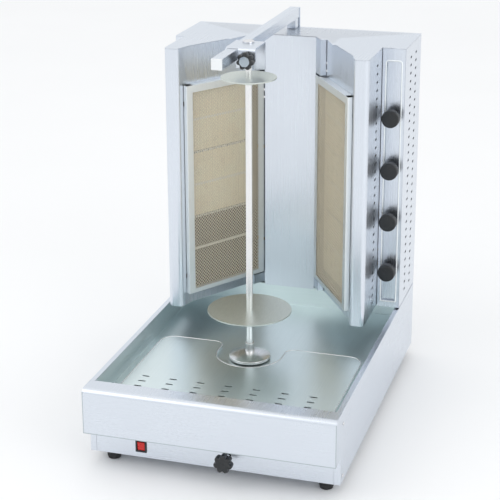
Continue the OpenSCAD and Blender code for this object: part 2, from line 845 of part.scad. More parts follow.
module terminal_block() color(WHITE)
    translate([gland_x, back_y - 70, foot_h + sheet]) difference() {
        block([-terminal_w / 2, -terminal_d / 2, 0], [terminal_w / 2, terminal_d / 2, terminal_h]);
        for (i = [-2 : 2]) translate([i * terminal_pitch, 0, terminal_h - 8])
            cylinder(d = 6, h = 20);
    }

module motor() color(DARK_STEEL)
    translate([spit_x, 0, carriage_z - 34]) {
        front = spit_y + gearbox_d / 2 + seam;
        bar_y(motor_r, front, front + motor_l);
        bar_y(12, front + motor_l - 1, front + motor_l + 8);
    }

module gearbox() color(DARK_STEEL)
    translate([spit_x, spit_y, carriage_z - gearbox_h - seam]) difference() {
        union() {
            block([-gearbox_w / 2, -gearbox_d / 2, 0], [gearbox_w / 2, gearbox_d / 2, gearbox_h]);
            translate([0, 0, gearbox_h]) cylinder(d = shaft_d + 12, h = carriage_t + 6);
        }
        translate([0, 0, 10]) cylinder(d = shaft_d + 2 * running, h = gearbox_h + 20);
    }

module carriage_plate() color(STEEL)
    translate([spit_x, spit_y, carriage_z]) {
        difference() {
            block([-carriage_half_w, -carriage_half_d, 0],
                [carriage_half_w, carriage_half_d, carriage_t]);
            translate([0, 0, -1]) cylinder(d = shaft_d + 13, h = 10);
        }
        difference() {
            block([carriage_knob_x - spit_x - 14, -carriage_half_d, carriage_knob_z - carriage_z - 14],
                [carriage_knob_x - spit_x + 14, -carriage_half_d + carriage_t, 1]);
            translate([carriage_knob_x - spit_x, 0, carriage_knob_z - carriage_z])
                bar_y(screw_d / 2 + running, -carriage_half_d - 1, -carriage_half_d + 5);
        }
    }

module carriage_rails() color(STEEL)
    for (side = [-1, 1]) {
        x = spit_x + side * rail_x;
        low = foot_h + sheet;
        block([x - 1, spit_y - 80, low], [x + 1, spit_y + 90, carriage_z - seam]);
        block([x - 8, spit_y - 80, carriage_z - seam - 2], [x + 8, spit_y + 90, carriage_z - seam]);
        block([x - 10, spit_y - 80, low], [x + 10, spit_y + 90, low + 2]);
    }

module drive_shaft() color(CHROME)
    translate([spit_x, spit_y, carriage_z - gearbox_h + 12])
        cylinder(d = shaft_d, h = rod_z - 4 - (carriage_z - gearbox_h + 12));

module drive_dome() color(CHROME)
    translate([spit_x, spit_y, 0]) difference() {
        rotate_extrude($fn = 96) dome_profile();
        translate([0, 0, rod_z]) cylinder(d = spit_d + 2 * running, h = 40);
        translate([0, 0, dome_z - 1]) cylinder(d = shaft_d + 2 * running, h = rod_z - 3 - dome_z);
    }

// Half section of the drive's domed plate and its hub
module dome_profile() {
    r = dome_d / 2;
    skirt = 6;
    wall = 3;
    sag = dome_h - skirt;
    ball = (r * r + sag * sag) / (2 * sag);
    difference() {
        union() {
            translate([0, dome_z]) square([r, skirt]);
            intersection() {
                translate([0, dome_z + dome_h - ball]) circle(r = ball, $fn = 180);
                translate([0, dome_z + skirt]) square([r, dome_h]);
            }
        }
        translate([hub_r, dome_z - 1]) square([r - wall - hub_r, skirt + 1]);
    }
    translate([0, dome_z]) square([hub_r, hub_top - dome_z]);
}

module spit_rod() color(CHROME)
    translate([spit_x, spit_y, 0]) difference() {
        translate([0, 0, rod_z + seam]) cylinder(d = spit_d, h = spit_top - rod_z - seam);
        translate([0, 0, spit_top - pin_grip - 4]) cylinder(d = pin_d + 2 * running, h = 40);
    }

// A disc on a collar that hangs below it
module disc(d, z) {
    translate([spit_x, spit_y, 0]) difference() {
        union() {
            translate([0, 0, z]) cylinder(d = d, h = disc_t, $fn = 96);
            translate([0, 0, z - 14]) cylinder(d = spit_d + 9, h = 15);
        }
        translate([0, 0, z - 20]) cylinder(d = spit_d + 2 * running, h = 40);
        translate([0, 0, z - 7]) rotate([0, 90, 0]) cylinder(d = 5 + 2 * running, h = 30);
    }
}

module lower_disc() color(STEEL) disc(lower_disc_d, lower_disc_z);
module upper_disc() color(STEEL) disc(upper_disc_d, upper_disc_z);

module disc_screw() color(DARK_STEEL)
    translate([spit_x, spit_y, upper_disc_z - 7]) rotate([0, 90, 0]) {
        translate([0, 0, spit_d / 2 + seam]) cylinder(d = 5, h = 14);
        translate([0, 0, spit_d / 2 + 8]) cylinder(d = 12, h = 7);
    }

// ---------- arm ----------

module support_arm() color(STEEL) {
    half = arm_w / 2;
    difference() {
        block([arm_x - half, arm_front, arm_z], [arm_x + half, back_y + seam, arm_top]);
        block([arm_x - half + arm_wall, arm_front - 1, arm_z + arm_wall],
            [arm_x + half - arm_wall, back_y + 1, arm_top - arm_wall]);
    }
    block([arm_x - half - 1.5, back_y + seam, arm_z - 100],
        [arm_x + half + 1.5, back_y + seam + 3, arm_top]);
    block([arm_x - half + 1.5, back_y - 33, body_h + seam], [arm_x + half - 1.5, back_y - 3, arm_z]);
}

module arm_end_cap() color(WHITE) {
    half = arm_w / 2;
    plug = half - arm_wall - seam;
    mid_z = arm_z + half;
    block([arm_x - half, arm_front - cap_t - seam, arm_z], [arm_x + half, arm_front - seam, arm_top]);
    block([arm_x - plug, arm_front - seam - 1, mid_z - plug], [arm_x + plug, arm_front + 15, mid_z + plug]);
}

module clamp_block() color(STEEL) {
    r = clamp_r;
    x1 = clamp_x0 + clamp_w;
    difference() {
        union() {
            block([clamp_x0, clamp_y0 + r, clamp_top - clamp_t], [x1, clamp_y1, clamp_top]);
            block([clamp_x0, clamp_y0, clamp_top - clamp_front_h], [x1, clamp_y0 + clamp_t, clamp_top - r]);
            block([clamp_x0, clamp_y1 - clamp_t, clamp_top - clamp_back_h], [x1, clamp_y1, clamp_top]);
            translate([clamp_x0, clamp_y0 + r, clamp_top - r]) rotate([0, 90, 0]) difference() {
                cylinder(r = r, h = clamp_w);
                translate([0, 0, -1]) cylinder(r = r - clamp_t, h = clamp_w + 2);
                translate([0, -r - 1, -1]) cube([r + 1, 2 * r + 2, clamp_w + 2]);
                translate([-r - 1, 0, -1]) cube([2 * r + 2, r + 1, clamp_w + 2]);
            }
            translate([spit_x, spit_y, arm_z - 9]) cylinder(r = bush_r, h = clamp_top - arm_z + 8);
        }
        block([arm_x - arm_w / 2 - seam, clamp_y0 - 1, arm_z - seam],
            [arm_x + arm_w / 2 + seam, clamp_y1 + 1, arm_top + 0.4]);
        translate([spit_x, spit_y, arm_z - 20]) cylinder(d = pin_d + 2 * running, h = 80);
        translate([clamp_knob_x, 0, clamp_knob_z]) bar_y(screw_d / 2 + running, clamp_y0 - 1, clamp_y0 + 5);
    }
}

module clamp_knob() color(BLACK)
    translate([clamp_knob_x, clamp_y0 - 2, clamp_knob_z]) {
        rotate([90, 0, 0]) star(clamp_knob_d, star_t);
        bar_y(screw_d / 2, -1, 30);
    }

module pivot_pin() color(CHROME)
    translate([spit_x, spit_y, 0]) {
        low = spit_top - pin_grip;
        translate([0, 0, low]) cylinder(d = pin_d, h = clamp_top + seam + 1 - low);
        translate([0, 0, clamp_top + seam]) cylinder(d = pin_cap_d, h = 3);
        translate([0, 0, clamp_top + seam + 3]) cylinder(d1 = pin_cap_d, d2 = pin_cap_d - 6, h = 2);
    }

// ---------- controls ----------

module carriage_rod() color(CHROME)
    translate([carriage_knob_x, 0, carriage_knob_z])
        bar_y(screw_d / 2, carriage_knob_y + star_t - 10, spit_y - carriage_half_d + 12);

module carriage_knob() color(BLACK)
    translate([carriage_knob_x, carriage_knob_y + star_t, carriage_knob_z]) difference() {
        rotate([90, 0, 0]) star(carriage_knob_d, star_t);
        bar_y(screw_d / 2 + running, -12, 1);
    }

module switch_bezel() color(BLACK)
    translate([switch_x, front_y, switch_z]) difference() {
        union() {
            block([-switch_w / 2, -2.5, -switch_h / 2], [switch_w / 2, -seam, switch_h / 2]);
            block([-switch_w / 2 + 2, -1, -switch_h / 2 + 2], [switch_w / 2 - 2, 20, switch_h / 2 - 2]);
        }
        block([-switch_w / 2 + 4, -4, -switch_h / 2 + 4], [switch_w / 2 - 4, 16, switch_h / 2 - 4]);
    }

module switch_rocker() color(RED)
    translate([switch_x, front_y + 5, switch_z]) rotate([rock_angle, 0, 0]) {
        half_w = switch_w / 2 - 4.4;
        half_h = switch_h / 2 - 5.4;
        translate([-half_w, 0, 0]) rotate([90, 0, 90]) linear_extrude(2 * half_w)
            polygon([[-7.5, -half_h], [-6, 0], [-7.5, half_h], [0, half_h], [5, 3], [5, -3], [0, -half_h]]);
    }

// Domed screw heads on the back, the arm's plate and the fascia's ends
module screws() color(CHROME) {
    for (x = [-inner_x + 12, inner_x - 12]) for (z = [foot_h + 20, rim_z + 60, body_h - 40])
        translate([x, back_y + seam, z]) screw_head();
    for (z = [arm_z - 90, arm_z - 70])
        translate([arm_x, back_y + 3 + 2 * seam, z]) screw_head();
    for (side = [-1, 1]) for (z = [foot_h + 15, rim_z - 30])
        translate([side * (side_x + seam), front_y + 20, z]) rotate([0, 0, -side * 90]) screw_head();
}

module screw_head() rotate([-90, 0, 0]) {
    cylinder(r = 4, h = 1.2, $fn = 24);
    translate([0, 0, 1.2]) cylinder(r1 = 4, r2 = 2.6, h = 1, $fn = 24);
}

base_floor();
left_side_panel();
right_side_panel();
back_panel();
front_fascia();
plinth_panel();
drip_basin();
drip_plate();
feet();
left_housing_side();
right_housing_side();
control_panel();
top_cover();
rear_deflector();
left_wing();
right_wing();
left_frame();
right_frame();
left_mesh();
right_mesh();
left_lower_burner();
left_upper_burner();
right_lower_burner();
right_upper_burner();
left_ceramics();
right_ceramics();
gas_manifold();
gas_valves();
gas_inlet();
supply_pipes();
tap_stem_1();
tap_stem_2();
tap_stem_3();
tap_stem_4();
tap_knob_1();
tap_knob_2();
tap_knob_3();
tap_knob_4();
power_gland();
terminal_block();
motor();
gearbox();
carriage_plate();
carriage_rails();
drive_shaft();
drive_dome();
spit_rod();
lower_disc();
upper_disc();
disc_screw();
support_arm();
arm_end_cap();
clamp_block();
clamp_knob();
pivot_pin();
carriage_rod();
carriage_knob();
switch_bezel();
switch_rocker();
screws();
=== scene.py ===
"""Looks of the upright gas broiler, built round its packed CAD model."""

import json
import math

import bmesh
import bpy
from bpy.props import FloatProperty, FloatVectorProperty, IntProperty, PointerProperty
from mathutils import Matrix, Vector

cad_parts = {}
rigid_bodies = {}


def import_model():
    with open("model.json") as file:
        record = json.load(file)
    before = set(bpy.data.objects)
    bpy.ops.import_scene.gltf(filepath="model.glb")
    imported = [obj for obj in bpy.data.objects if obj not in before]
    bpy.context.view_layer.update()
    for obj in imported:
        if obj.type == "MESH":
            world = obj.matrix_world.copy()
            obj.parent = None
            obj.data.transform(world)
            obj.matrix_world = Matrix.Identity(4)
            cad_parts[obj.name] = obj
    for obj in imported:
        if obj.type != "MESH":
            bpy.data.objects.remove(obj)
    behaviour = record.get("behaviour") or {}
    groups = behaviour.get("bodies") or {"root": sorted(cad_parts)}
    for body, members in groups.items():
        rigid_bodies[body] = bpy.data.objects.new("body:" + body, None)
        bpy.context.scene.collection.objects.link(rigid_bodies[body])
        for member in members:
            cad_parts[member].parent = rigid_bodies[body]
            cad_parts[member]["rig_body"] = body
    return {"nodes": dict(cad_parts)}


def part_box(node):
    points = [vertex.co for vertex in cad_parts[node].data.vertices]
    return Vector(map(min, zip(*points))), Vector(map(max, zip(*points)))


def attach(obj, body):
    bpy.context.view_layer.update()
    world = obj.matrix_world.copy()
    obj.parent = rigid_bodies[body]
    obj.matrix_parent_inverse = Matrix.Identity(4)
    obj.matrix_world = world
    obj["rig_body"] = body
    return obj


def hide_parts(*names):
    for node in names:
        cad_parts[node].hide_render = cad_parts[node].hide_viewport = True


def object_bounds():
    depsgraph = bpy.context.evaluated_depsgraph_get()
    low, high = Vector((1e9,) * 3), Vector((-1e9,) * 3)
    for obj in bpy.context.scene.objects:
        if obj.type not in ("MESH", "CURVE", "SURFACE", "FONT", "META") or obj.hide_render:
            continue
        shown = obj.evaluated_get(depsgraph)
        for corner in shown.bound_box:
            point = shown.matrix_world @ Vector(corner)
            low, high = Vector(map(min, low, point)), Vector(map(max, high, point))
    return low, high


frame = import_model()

bl_info = {
    "name": "Upright broiler looks",
    "version": (1, 0, 0),
    "blender": (4, 5, 0),
    "location": "View3D > Sidebar > Broiler",
    "description": "Finishes, rounded folds and small parts of an upright gas broiler",
    "category": "Object",
}

CAD_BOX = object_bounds()
FORWARD = (0, -1, 0)
HOUSING = frame["nodes"]["left_wing"]["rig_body"]

# Limits in metres and radians: points are one, faces are one, an edge is a fold, shading is
# smooth, and a face is the cut edge of a sheet
WELD = 1e-5
FLAT = math.radians(0.8)
SHARP = math.radians(28)
SMOOTH = math.radians(38)
CUT_EDGE = 0.0036

# Turned profiles: shares of the radius and of the height, bottom first
FOOT_PROFILE = (
    (0, 0), (0.80, 0), (0.90, 0.03), (0.95, 0.12), (1, 0.2), (1, 0.34), (0.94, 0.38),
    (0.94, 0.44), (1, 0.48), (1, 0.94), (0.96, 1), (0, 1))
SCREW_PROFILE = (
    (0, 0), (1, 0), (1, 0.30), (0.95, 0.52), (0.80, 0.76), (0.55, 0.93), (0.30, 1),
    (0.26, 0.55), (0, 0.50))
STAR_PROFILE = (
    (0.70, 0.0), (0.90, 0.0), (0.955, 0.035), (0.975, 0.10), (1.0, 0.25), (1.0, 0.62),
    (0.985, 0.76), (0.94, 0.88), (0.86, 0.95), (0.72, 0.985), (0.66, 0.985), (0.60, 0.965))

# Star knobs
LOBE_POINTS = 16
LOBE_POWER = 1.6
LOBE_CUT = 1.35
LOBED_FROM = 0.85
INNER_CUT = 0.6
STEM_R = 0.004
STEM_L = 0.03
CAP_DEPTH = 0.004
BRIGHT_CAP = (0.62, 0.0012)
PLAIN_CAP = (0.22, 0.0002)
WASHER_R = 0.45
WASHER_LOW, WASHER_HIGH = -0.0015, 0.0005

# Tap knobs, as shares of the radius or of the thickness
DRUM_START = 0.18
DRUM_EDGE = 0.13
DRUM_R = 0.975
COLLAR_R = 0.34
GRIP_R = 0.965
GRIP_W = 0.07
POINTER_W, POINTER_L, POINTER_AT = 0.09, 0.42, 0.62
POINTER_T = 0.0006

# Wire mesh and the strips between tiles
WIRE_FRONT, WIRE_STEP = -0.55, -0.8
SHORTEST_WIRE = 0.0005
PLAIN_STRIP_T, PLAIN_STRIP_AT = 0.0010, 0.0006
TOOTHED_STRIP_T, TOOTHED_STRIP_AT = 0.0008, 0.0003
TOOTH_T, TOOTH_AT = 0.0008, 0.0011
TOOTH_LENGTH, TOOTH_HEIGHT = 0.62, 0.8

# Stage: lamp places and sizes are shares of the object's diagonal
KEY_PLACE, KEY_SIZE = Vector((-2.2, -2.0, 2.6)), 3.0
FILL_PLACE, FILL_SIZE, FILL_SHARE = Vector((2.6, -1.6, 1.4)), 2.0, 0.75
FLOOR_HALF = 20
SKY = ((0.0, (0.98, 0.99, 1.0)), (0.35, (0.80, 0.82, 0.84)), (1.0, (0.96, 0.96, 0.96)))
SIDES = ((0.0, (1.0, 1.0, 1.0)), (1.0, (0.90, 0.92, 0.94)))
SENSOR_W = 36.0
VIEW_END = 100.0


# ---------- settings ----------


class BroilerSheetSettings(bpy.types.PropertyGroup):
    """Sheet steel: colour, brushed grain and folds"""

    colour: FloatVectorProperty(
        name="Sheet colour", description="Colour of the polished sheet steel",
        subtype="COLOR", size=3, min=0, max=1, default=(0.72, 0.765, 0.83))
    shade: FloatVectorProperty(
        name="Grain colour", description="Colour in the grain of the sheet steel",
        subtype="COLOR", size=3, min=0, max=1, default=(0.695, 0.74, 0.805))
    roughness: FloatProperty(
        name="Roughness", description="Roughness of the sheet steel",
        subtype="FACTOR", min=0, max=1, default=0.27)
    grain_across: FloatProperty(
        name="Grain across", description="Brushed lines in a metre across the grain",
        min=10, default=900.0)
    grain_along: FloatProperty(
        name="Grain along", description="Brushed lines in a metre along the grain",
        min=0.1, default=7.0)
    fold: FloatProperty(
        name="Fold radius", description="Outer radius of a folded edge",
        unit="LENGTH", min=0, default=0.002)
    # The hem strips get a finish darker than the sheet: painted shade of the gap under the fascia
    # and of the dark seams at its ends
    hem_shade_width: FloatProperty(
        name="Hem", description="Width of the seams round the front panel",
        unit="LENGTH", min=0.0005, default=0.0018)
    rail: FloatProperty(
        name="Channel rail", description="Radius of the bead round the tap channel",
        unit="LENGTH", min=0.0005, default=0.0022)
    rim: FloatProperty(
        name="Edge radius", description="Radius of a cut and deburred edge",
        unit="LENGTH", min=0, default=0.0003)


class BroilerTraySettings(bpy.types.PropertyGroup):
    """Tray and drip plate"""

    fold: FloatProperty(
        name="Tray fold", description="Radius of the folds inside the tray",
        unit="LENGTH", min=0, default=0.007)
    bead: FloatProperty(
        name="Bead radius", description="Radius of the bead round the drip plate",
        unit="LENGTH", min=0, default=0.0017)
    bead_step: FloatProperty(
        name="Bead step", description="Distance between points along the bead",
        unit="LENGTH", min=0.001, default=0.004)


class BroilerBurnerSettings(bpy.types.PropertyGroup):
    """Ceramic tiles and the mesh in front of them"""

    tile: FloatVectorProperty(
        name="Tile colour", description="Colour of the ceramic",
        subtype="COLOR", size=3, min=0, max=1, default=(0.90, 0.79, 0.60))
    tile_cell: FloatProperty(
        name="Tile cell", description="Distance between the holes in a tile",
        unit="LENGTH", min=0.0005, default=0.003)
    tile_edge: FloatProperty(
        name="Tile edge", description="Radius of a tile's edges",
        unit="LENGTH", min=0, default=0.0012)
    wire_pitch: FloatProperty(
        name="Wire pitch", description="Distance between the wires of the mesh",
        unit="LENGTH", min=0.001, default=0.0062)
    wire: FloatProperty(
        name="Wire size", description="Thickness of a wire of the mesh",
        unit="LENGTH", min=0.0002, default=0.0012)
    rib: FloatProperty(
        name="Rib height", description="Height of the strip between two tiles",
        unit="LENGTH", min=0.001, default=0.0062)
    rib_pitch: FloatProperty(
        name="Rib dash", description="Distance between the teeth of a toothed strip",
        unit="LENGTH", min=0.001, default=0.0062)


class BroilerKnobSettings(bpy.types.PropertyGroup):
    """Star knobs and tap knobs"""

    plastic: FloatVectorProperty(
        name="Knob colour", description="Colour of the moulded knobs",
        subtype="COLOR", size=3, min=0, max=1, default=(0.012, 0.014, 0.016))
    lobes: IntProperty(
        name="Lobes", description="Number of lobes of a star knob", min=3, default=7)
    lobe_depth: FloatProperty(
        name="Lobe depth", description="Depth of the hollows between lobes",
        unit="LENGTH", min=0, default=0.0034)
    grips: IntProperty(
        name="Grips", description="Number of ribs round a tap knob", min=6, default=36)


class BroilerStageSettings(bpy.types.PropertyGroup):
    """Floor, lights and camera"""

    floor: FloatVectorProperty(
        name="Floor colour", description="Colour of the floor",
        subtype="COLOR", size=3, min=0, max=1, default=(0.93, 0.93, 0.93))
    sky: FloatProperty(
        name="Room light", description="Strength of the light of the room", min=0, default=1.12)
    key: FloatProperty(
        name="Key light", description="Power of the large lamp",
        min=0, default=42.0)
    turn: FloatProperty(
        name="Camera turn", description="Angle of the camera round the object",
        subtype="ANGLE", default=math.radians(16.986))
    drop: FloatProperty(
        name="Camera drop", description="Angle that the camera looks down",
        subtype="ANGLE", default=math.radians(17.944))
    roll: FloatProperty(
        name="Camera roll", description="Roll of the camera",
        subtype="ANGLE", default=math.radians(-0.212))
    distance: FloatProperty(
        name="Camera distance", description="Distance from the camera to its target",
        unit="LENGTH", min=0.1, default=3.4523)
    target: FloatVectorProperty(
        name="Camera target", description="Target, from the middle of the object",
        subtype="TRANSLATION", size=3, default=(-0.0344, 0.0, 0.0631))
    lens: FloatProperty(
        name="Lens", description="Focal length of the camera, in millimetres",
        min=1, default=104.91)
    shift: FloatProperty(
        name="Camera shift", description="Upward shift of the picture, in picture widths",
        default=-0.1)


SETTINGS = {
    "broiler_sheet": BroilerSheetSettings,
    "broiler_tray": BroilerTraySettings,
    "broiler_burner": BroilerBurnerSettings,
    "broiler_knob": BroilerKnobSettings,
    "broiler_stage": BroilerStageSettings,
}


# ---------- node trees ----------


def node(tree, kind, inputs=None, **settings):
    """Adds a node; each input is a value or the socket that feeds it."""
    made = tree.nodes.new(kind)
    for key, value in settings.items():
        setattr(made, key, value)
    for key, value in (inputs or {}).items():
        socket = made.inputs[key]
        if isinstance(value, bpy.types.NodeSocket):
            tree.links.new(value, socket)
        else:
            socket.default_value = value
    return made


def math_node(tree, operation, *values, clamp=False):
    made = node(tree, "ShaderNodeMath", dict(enumerate(values)), operation=operation)
    made.use_clamp = clamp
    return made.outputs[0]


def vector_node(tree, operation, *values):
    made = node(tree, "ShaderNodeVectorMath", dict(enumerate(values)), operation=operation)
    return made.outputs[1 if operation in {"LENGTH", "DOT_PRODUCT"} else 0]


def mix_colour(tree, factor, first, second, blend="MIX"):
    made = node(tree, "ShaderNodeMix", {0: factor, 6: first, 7: second},
                data_type="RGBA", blend_type=blend)
    return made.outputs[2]


def mix_vector(tree, factor, first, second):
    made = node(tree, "ShaderNodeMix", {0: factor, 4: first, 5: second}, data_type="VECTOR")
    return made.outputs[1]


def shades(tree, factor, *stops):
    """A colour ramp; each stop is a place and a colour."""
    made = node(tree, "ShaderNodeValToRGB", {0: factor})
    ramp = made.color_ramp
    while len(ramp.elements) < len(stops):
        ramp.elements.new(0.5)
    for element, (place, colour) in zip(ramp.elements, stops):
        element.position = place
        element.color = tuple(colour) + (1.0,)
    return made.outputs[0]


def spread(tree, value, low, high, to_low, to_high):
    made = node(tree, "ShaderNodeMapRange",
                {0: value, 1: low, 2: high, 3: to_low, 4: to_high})
    return made.outputs[0]


def group_tree(name, kind, sockets):
    """A node group with (name, direction, type, default) sockets."""
    tree = bpy.data.node_groups.new(name, kind)
    for label, way, socket_type, default in sockets:
        made = tree.interface.new_socket(name=label, in_out=way, socket_type=socket_type)
        if default is not None:
            made.default_value = default
    return tree, node(tree, "NodeGroupInput"), node(tree, "NodeGroupOutput")


def grain_group():
    """Fine brushed lines, upright or sideways on walls and lengthways on flats."""
    tree, given, out = group_tree("Brushed grain", "ShaderNodeTree", [
        ("Across", "INPUT", "NodeSocketFloat", 900.0),
        ("Along", "INPUT", "NodeSocketFloat", 7.0),
        ("Upright", "INPUT", "NodeSocketFloat", 0.0),
        ("Grain", "OUTPUT", "NodeSocketFloat", None),
        ("Haze", "OUTPUT", "NodeSocketFloat", None)])
    place = node(tree, "ShaderNodeTexCoord")
    across, along = given.outputs["Across"], given.outputs["Along"]
    facing = node(tree, "ShaderNodeSeparateXYZ", {0: place.outputs["Normal"]})
    flat = math_node(tree, "GREATER_THAN", math_node(tree, "ABSOLUTE", facing.outputs[2]), 0.6)
    sideways = node(tree, "ShaderNodeCombineXYZ", {0: along, 1: along, 2: across}).outputs[0]
    upright = node(tree, "ShaderNodeCombineXYZ", {0: across, 1: across, 2: along}).outputs[0]
    deep = node(tree, "ShaderNodeCombineXYZ", {0: across, 1: along, 2: along}).outputs[0]
    wall = mix_vector(tree, given.outputs["Upright"], sideways, upright)
    scale = mix_vector(tree, flat, wall, deep)
    stretched = vector_node(tree, "MULTIPLY", place.outputs["Object"], scale)
    lines = node(tree, "ShaderNodeTexNoise", {"Vector": stretched, "Scale": 1.0, "Detail": 4.0,
                                              "Roughness": 0.7})
    tree.links.new(lines.outputs[0], out.inputs["Grain"])
    haze = node(tree, "ShaderNodeTexNoise", {"Vector": place.outputs["Object"], "Scale": 5.0,
                                             "Detail": 3.0, "Distortion": 0.6})
    tree.links.new(haze.outputs[0], out.inputs["Haze"])
    return tree


def speckle_group():
    """Fine moulded or cast texture with a few worn spots."""
    tree, given, out = group_tree("Fine speckle", "ShaderNodeTree", [
        ("Size", "INPUT", "NodeSocketFloat", 1500.0),
        ("Wear", "INPUT", "NodeSocketFloat", 0.3),
        ("Speckle", "OUTPUT", "NodeSocketFloat", None),
        ("Worn", "OUTPUT", "NodeSocketFloat", None)])
    place = node(tree, "ShaderNodeTexCoord").outputs["Object"]
    fine = node(tree, "ShaderNodeTexNoise", {"Vector": place, "Scale": given.outputs["Size"],
                                             "Detail": 2.0})
    tree.links.new(fine.outputs[0], out.inputs["Speckle"])
    broad = node(tree, "ShaderNodeTexNoise", {"Vector": place, "Scale": 60.0, "Detail": 5.0})
    worn = spread(tree, broad.outputs[0], 0.55, 0.75, 0.0, given.outputs["Wear"])
    tree.links.new(worn, out.inputs["Worn"])
    return tree


def cell_group():
    """Rows of small holes through a ceramic tile, and its baked tint."""
    tree, given, out = group_tree("Tile cells", "ShaderNodeTree", [
        ("Cell", "INPUT", "NodeSocketFloat", 0.003),
        ("Depth", "OUTPUT", "NodeSocketFloat", None),
        ("Bake", "OUTPUT", "NodeSocketFloat", None)])
    place = node(tree, "ShaderNodeTexCoord").outputs["Object"]
    many = math_node(tree, "DIVIDE", 1.0, given.outputs["Cell"])
    cells = node(tree, "ShaderNodeTexVoronoi", {"Vector": place, "Scale": many,
                                                "Randomness": 0.35})
    # The depth of the holes drives their bump and is also the mask of the painted shade in them
    depth = spread(tree, cells.outputs["Distance"], 0.18, 0.42, 0.0, 1.0)
    tree.links.new(depth, out.inputs["Depth"])
    bake = node(tree, "ShaderNodeTexNoise", {"Vector": place, "Scale": 14.0, "Detail": 6.0,
                                             "Roughness": 0.65})
    tree.links.new(bake.outputs[0], out.inputs["Bake"])
    return tree


def blank_material(name):
    made = bpy.data.materials.new(name)
    made.use_nodes = True
    tree = made.node_tree
    shader = next(n for n in tree.nodes if n.type == "BSDF_PRINCIPLED")
    return made, tree, shader


def brushed(name, colour, shade, roughness, upright=0.0, across=900.0, along=7.0, depth=0.00002,
            haze=0.05):
    """Brushed metal whose grain, haze and shine vary over the surface."""
    made, tree, shader = blank_material(name)
    grain = node(tree, "ShaderNodeGroup", node_tree=bpy.data.node_groups["Brushed grain"])
    for key, value in (("Across", across), ("Along", along), ("Upright", upright)):
        grain.inputs[key].default_value = value
    tint = shades(tree, grain.outputs["Grain"], (0.32, shade), (0.62, colour))
    dull = [c * 0.97 for c in colour]
    veil = spread(tree, grain.outputs["Haze"], 0.42, 0.68, 0.0, 0.5)
    tree.links.new(mix_colour(tree, veil, tint, tuple(dull) + (1.0,)), shader.inputs["Base Color"])
    low = spread(tree, grain.outputs["Grain"], 0.25, 0.75, roughness + 0.05, roughness - 0.03)
    rough = math_node(tree, "MULTIPLY_ADD", veil, haze, low)
    tree.links.new(rough, shader.inputs["Roughness"])
    shader.inputs["Metallic"].default_value = 1.0
    bump = node(tree, "ShaderNodeBump", {"Height": grain.outputs["Grain"], "Strength": 0.25,
                                         "Distance": depth})
    tree.links.new(bump.outputs[0], shader.inputs["Normal"])
    return made


def moulded(name, colour, worn, roughness, size=1500.0, wear=0.3, depth=0.00004):
    """Moulded or cast surface with a fine texture and a few worn spots."""
    made, tree, shader = blank_material(name)
    speckle = node(tree, "ShaderNodeGroup", node_tree=bpy.data.node_groups["Fine speckle"])
    speckle.inputs["Size"].default_value = size
    speckle.inputs["Wear"].default_value = wear
    tint = mix_colour(tree, speckle.outputs["Worn"], tuple(colour) + (1.0,), tuple(worn) + (1.0,))
    tree.links.new(tint, shader.inputs["Base Color"])
    rough = spread(tree, speckle.outputs["Speckle"], 0.3, 0.7, roughness - 0.04, roughness + 0.08)
    tree.links.new(rough, shader.inputs["Roughness"])
    bump = node(tree, "ShaderNodeBump", {"Height": speckle.outputs["Speckle"], "Strength": 0.3,
                                         "Distance": depth})
    tree.links.new(bump.outputs[0], shader.inputs["Normal"])
    return made


def ceramic(name, colour, cell):
    """Fired ceramic with many small holes, painted darker inside as painted shade in the holes."""
    made, tree, shader = blank_material(name)
    cells = node(tree, "ShaderNodeGroup", node_tree=bpy.data.node_groups["Tile cells"])
    cells.inputs["Cell"].default_value = cell
    pale = [min(0.92, c * 1.15 + 0.04) for c in colour]
    # The holes get half the tile's colour: painted shade in the holes
    deep = [c * 0.5 for c in colour]
    body = shades(tree, cells.outputs["Bake"], (0.3, colour), (0.7, pale))
    tint = mix_colour(tree, cells.outputs["Depth"], tuple(deep) + (1.0,), body)
    tree.links.new(tint, shader.inputs["Base Color"])
    shader.inputs["Roughness"].default_value = 0.9
    bump = node(tree, "ShaderNodeBump", {"Height": cells.outputs["Depth"], "Strength": 0.6,
                                         "Distance": 0.0006})
    tree.links.new(bump.outputs[0], shader.inputs["Normal"])
    return made


# Colour, grain colour, roughness, upright, finer and longer grain, grain depth, haze
SHEET_METALS = {
    "Tray sheet": ((0.80, 0.89, 0.90), (0.74, 0.83, 0.84), 0.34, 0.0, 1, 1, 0.00001, 0.05),
    "Satin disc": ((0.66, 0.70, 0.66), (0.60, 0.64, 0.60), 0.4, 0.0, 0.6, 8, 0.00002, 0.05),
    "Frame steel": ((0.94, 0.97, 0.975), (0.89, 0.92, 0.925), 0.45, 1.0, 1, 1, 0.00002, 0.05),
    "Polished steel": ((0.80, 0.80, 0.81), (0.70, 0.70, 0.71), 0.10, 1.0, 2, 1, 0.00001, 0.04),
    "Satin bar": ((0.84, 0.84, 0.84), (0.78, 0.78, 0.78), 0.24, 1.0, 1, 1, 0.000004, 0.05),
    # Hem steel is darker than the sheet: painted shade of the gap under the fascia and at its ends
    "Hem steel": ((0.50, 0.56, 0.58), (0.44, 0.50, 0.52), 0.4, 0.0, 1, 1, 0.00002, 0.05),
    "Knob cap": ((0.42, 0.48, 0.53), (0.34, 0.40, 0.45), 0.16, 0.0, 1, 1, 0.00002, 0.05),
}

# Colour, grain colour, roughness, upright, grain across, grain along
CAST_METALS = {
    "Burner steel": ((0.15, 0.13, 0.115), (0.10, 0.088, 0.078), 0.5, 0.0, 500.0, 20.0),
    "Cast steel": ((0.34, 0.34, 0.35), (0.24, 0.24, 0.25), 0.45, 0.0, 700.0, 300.0),
    "Brass": ((0.68, 0.50, 0.22), (0.52, 0.37, 0.15), 0.28, 1.0, 700.0, 30.0),
}

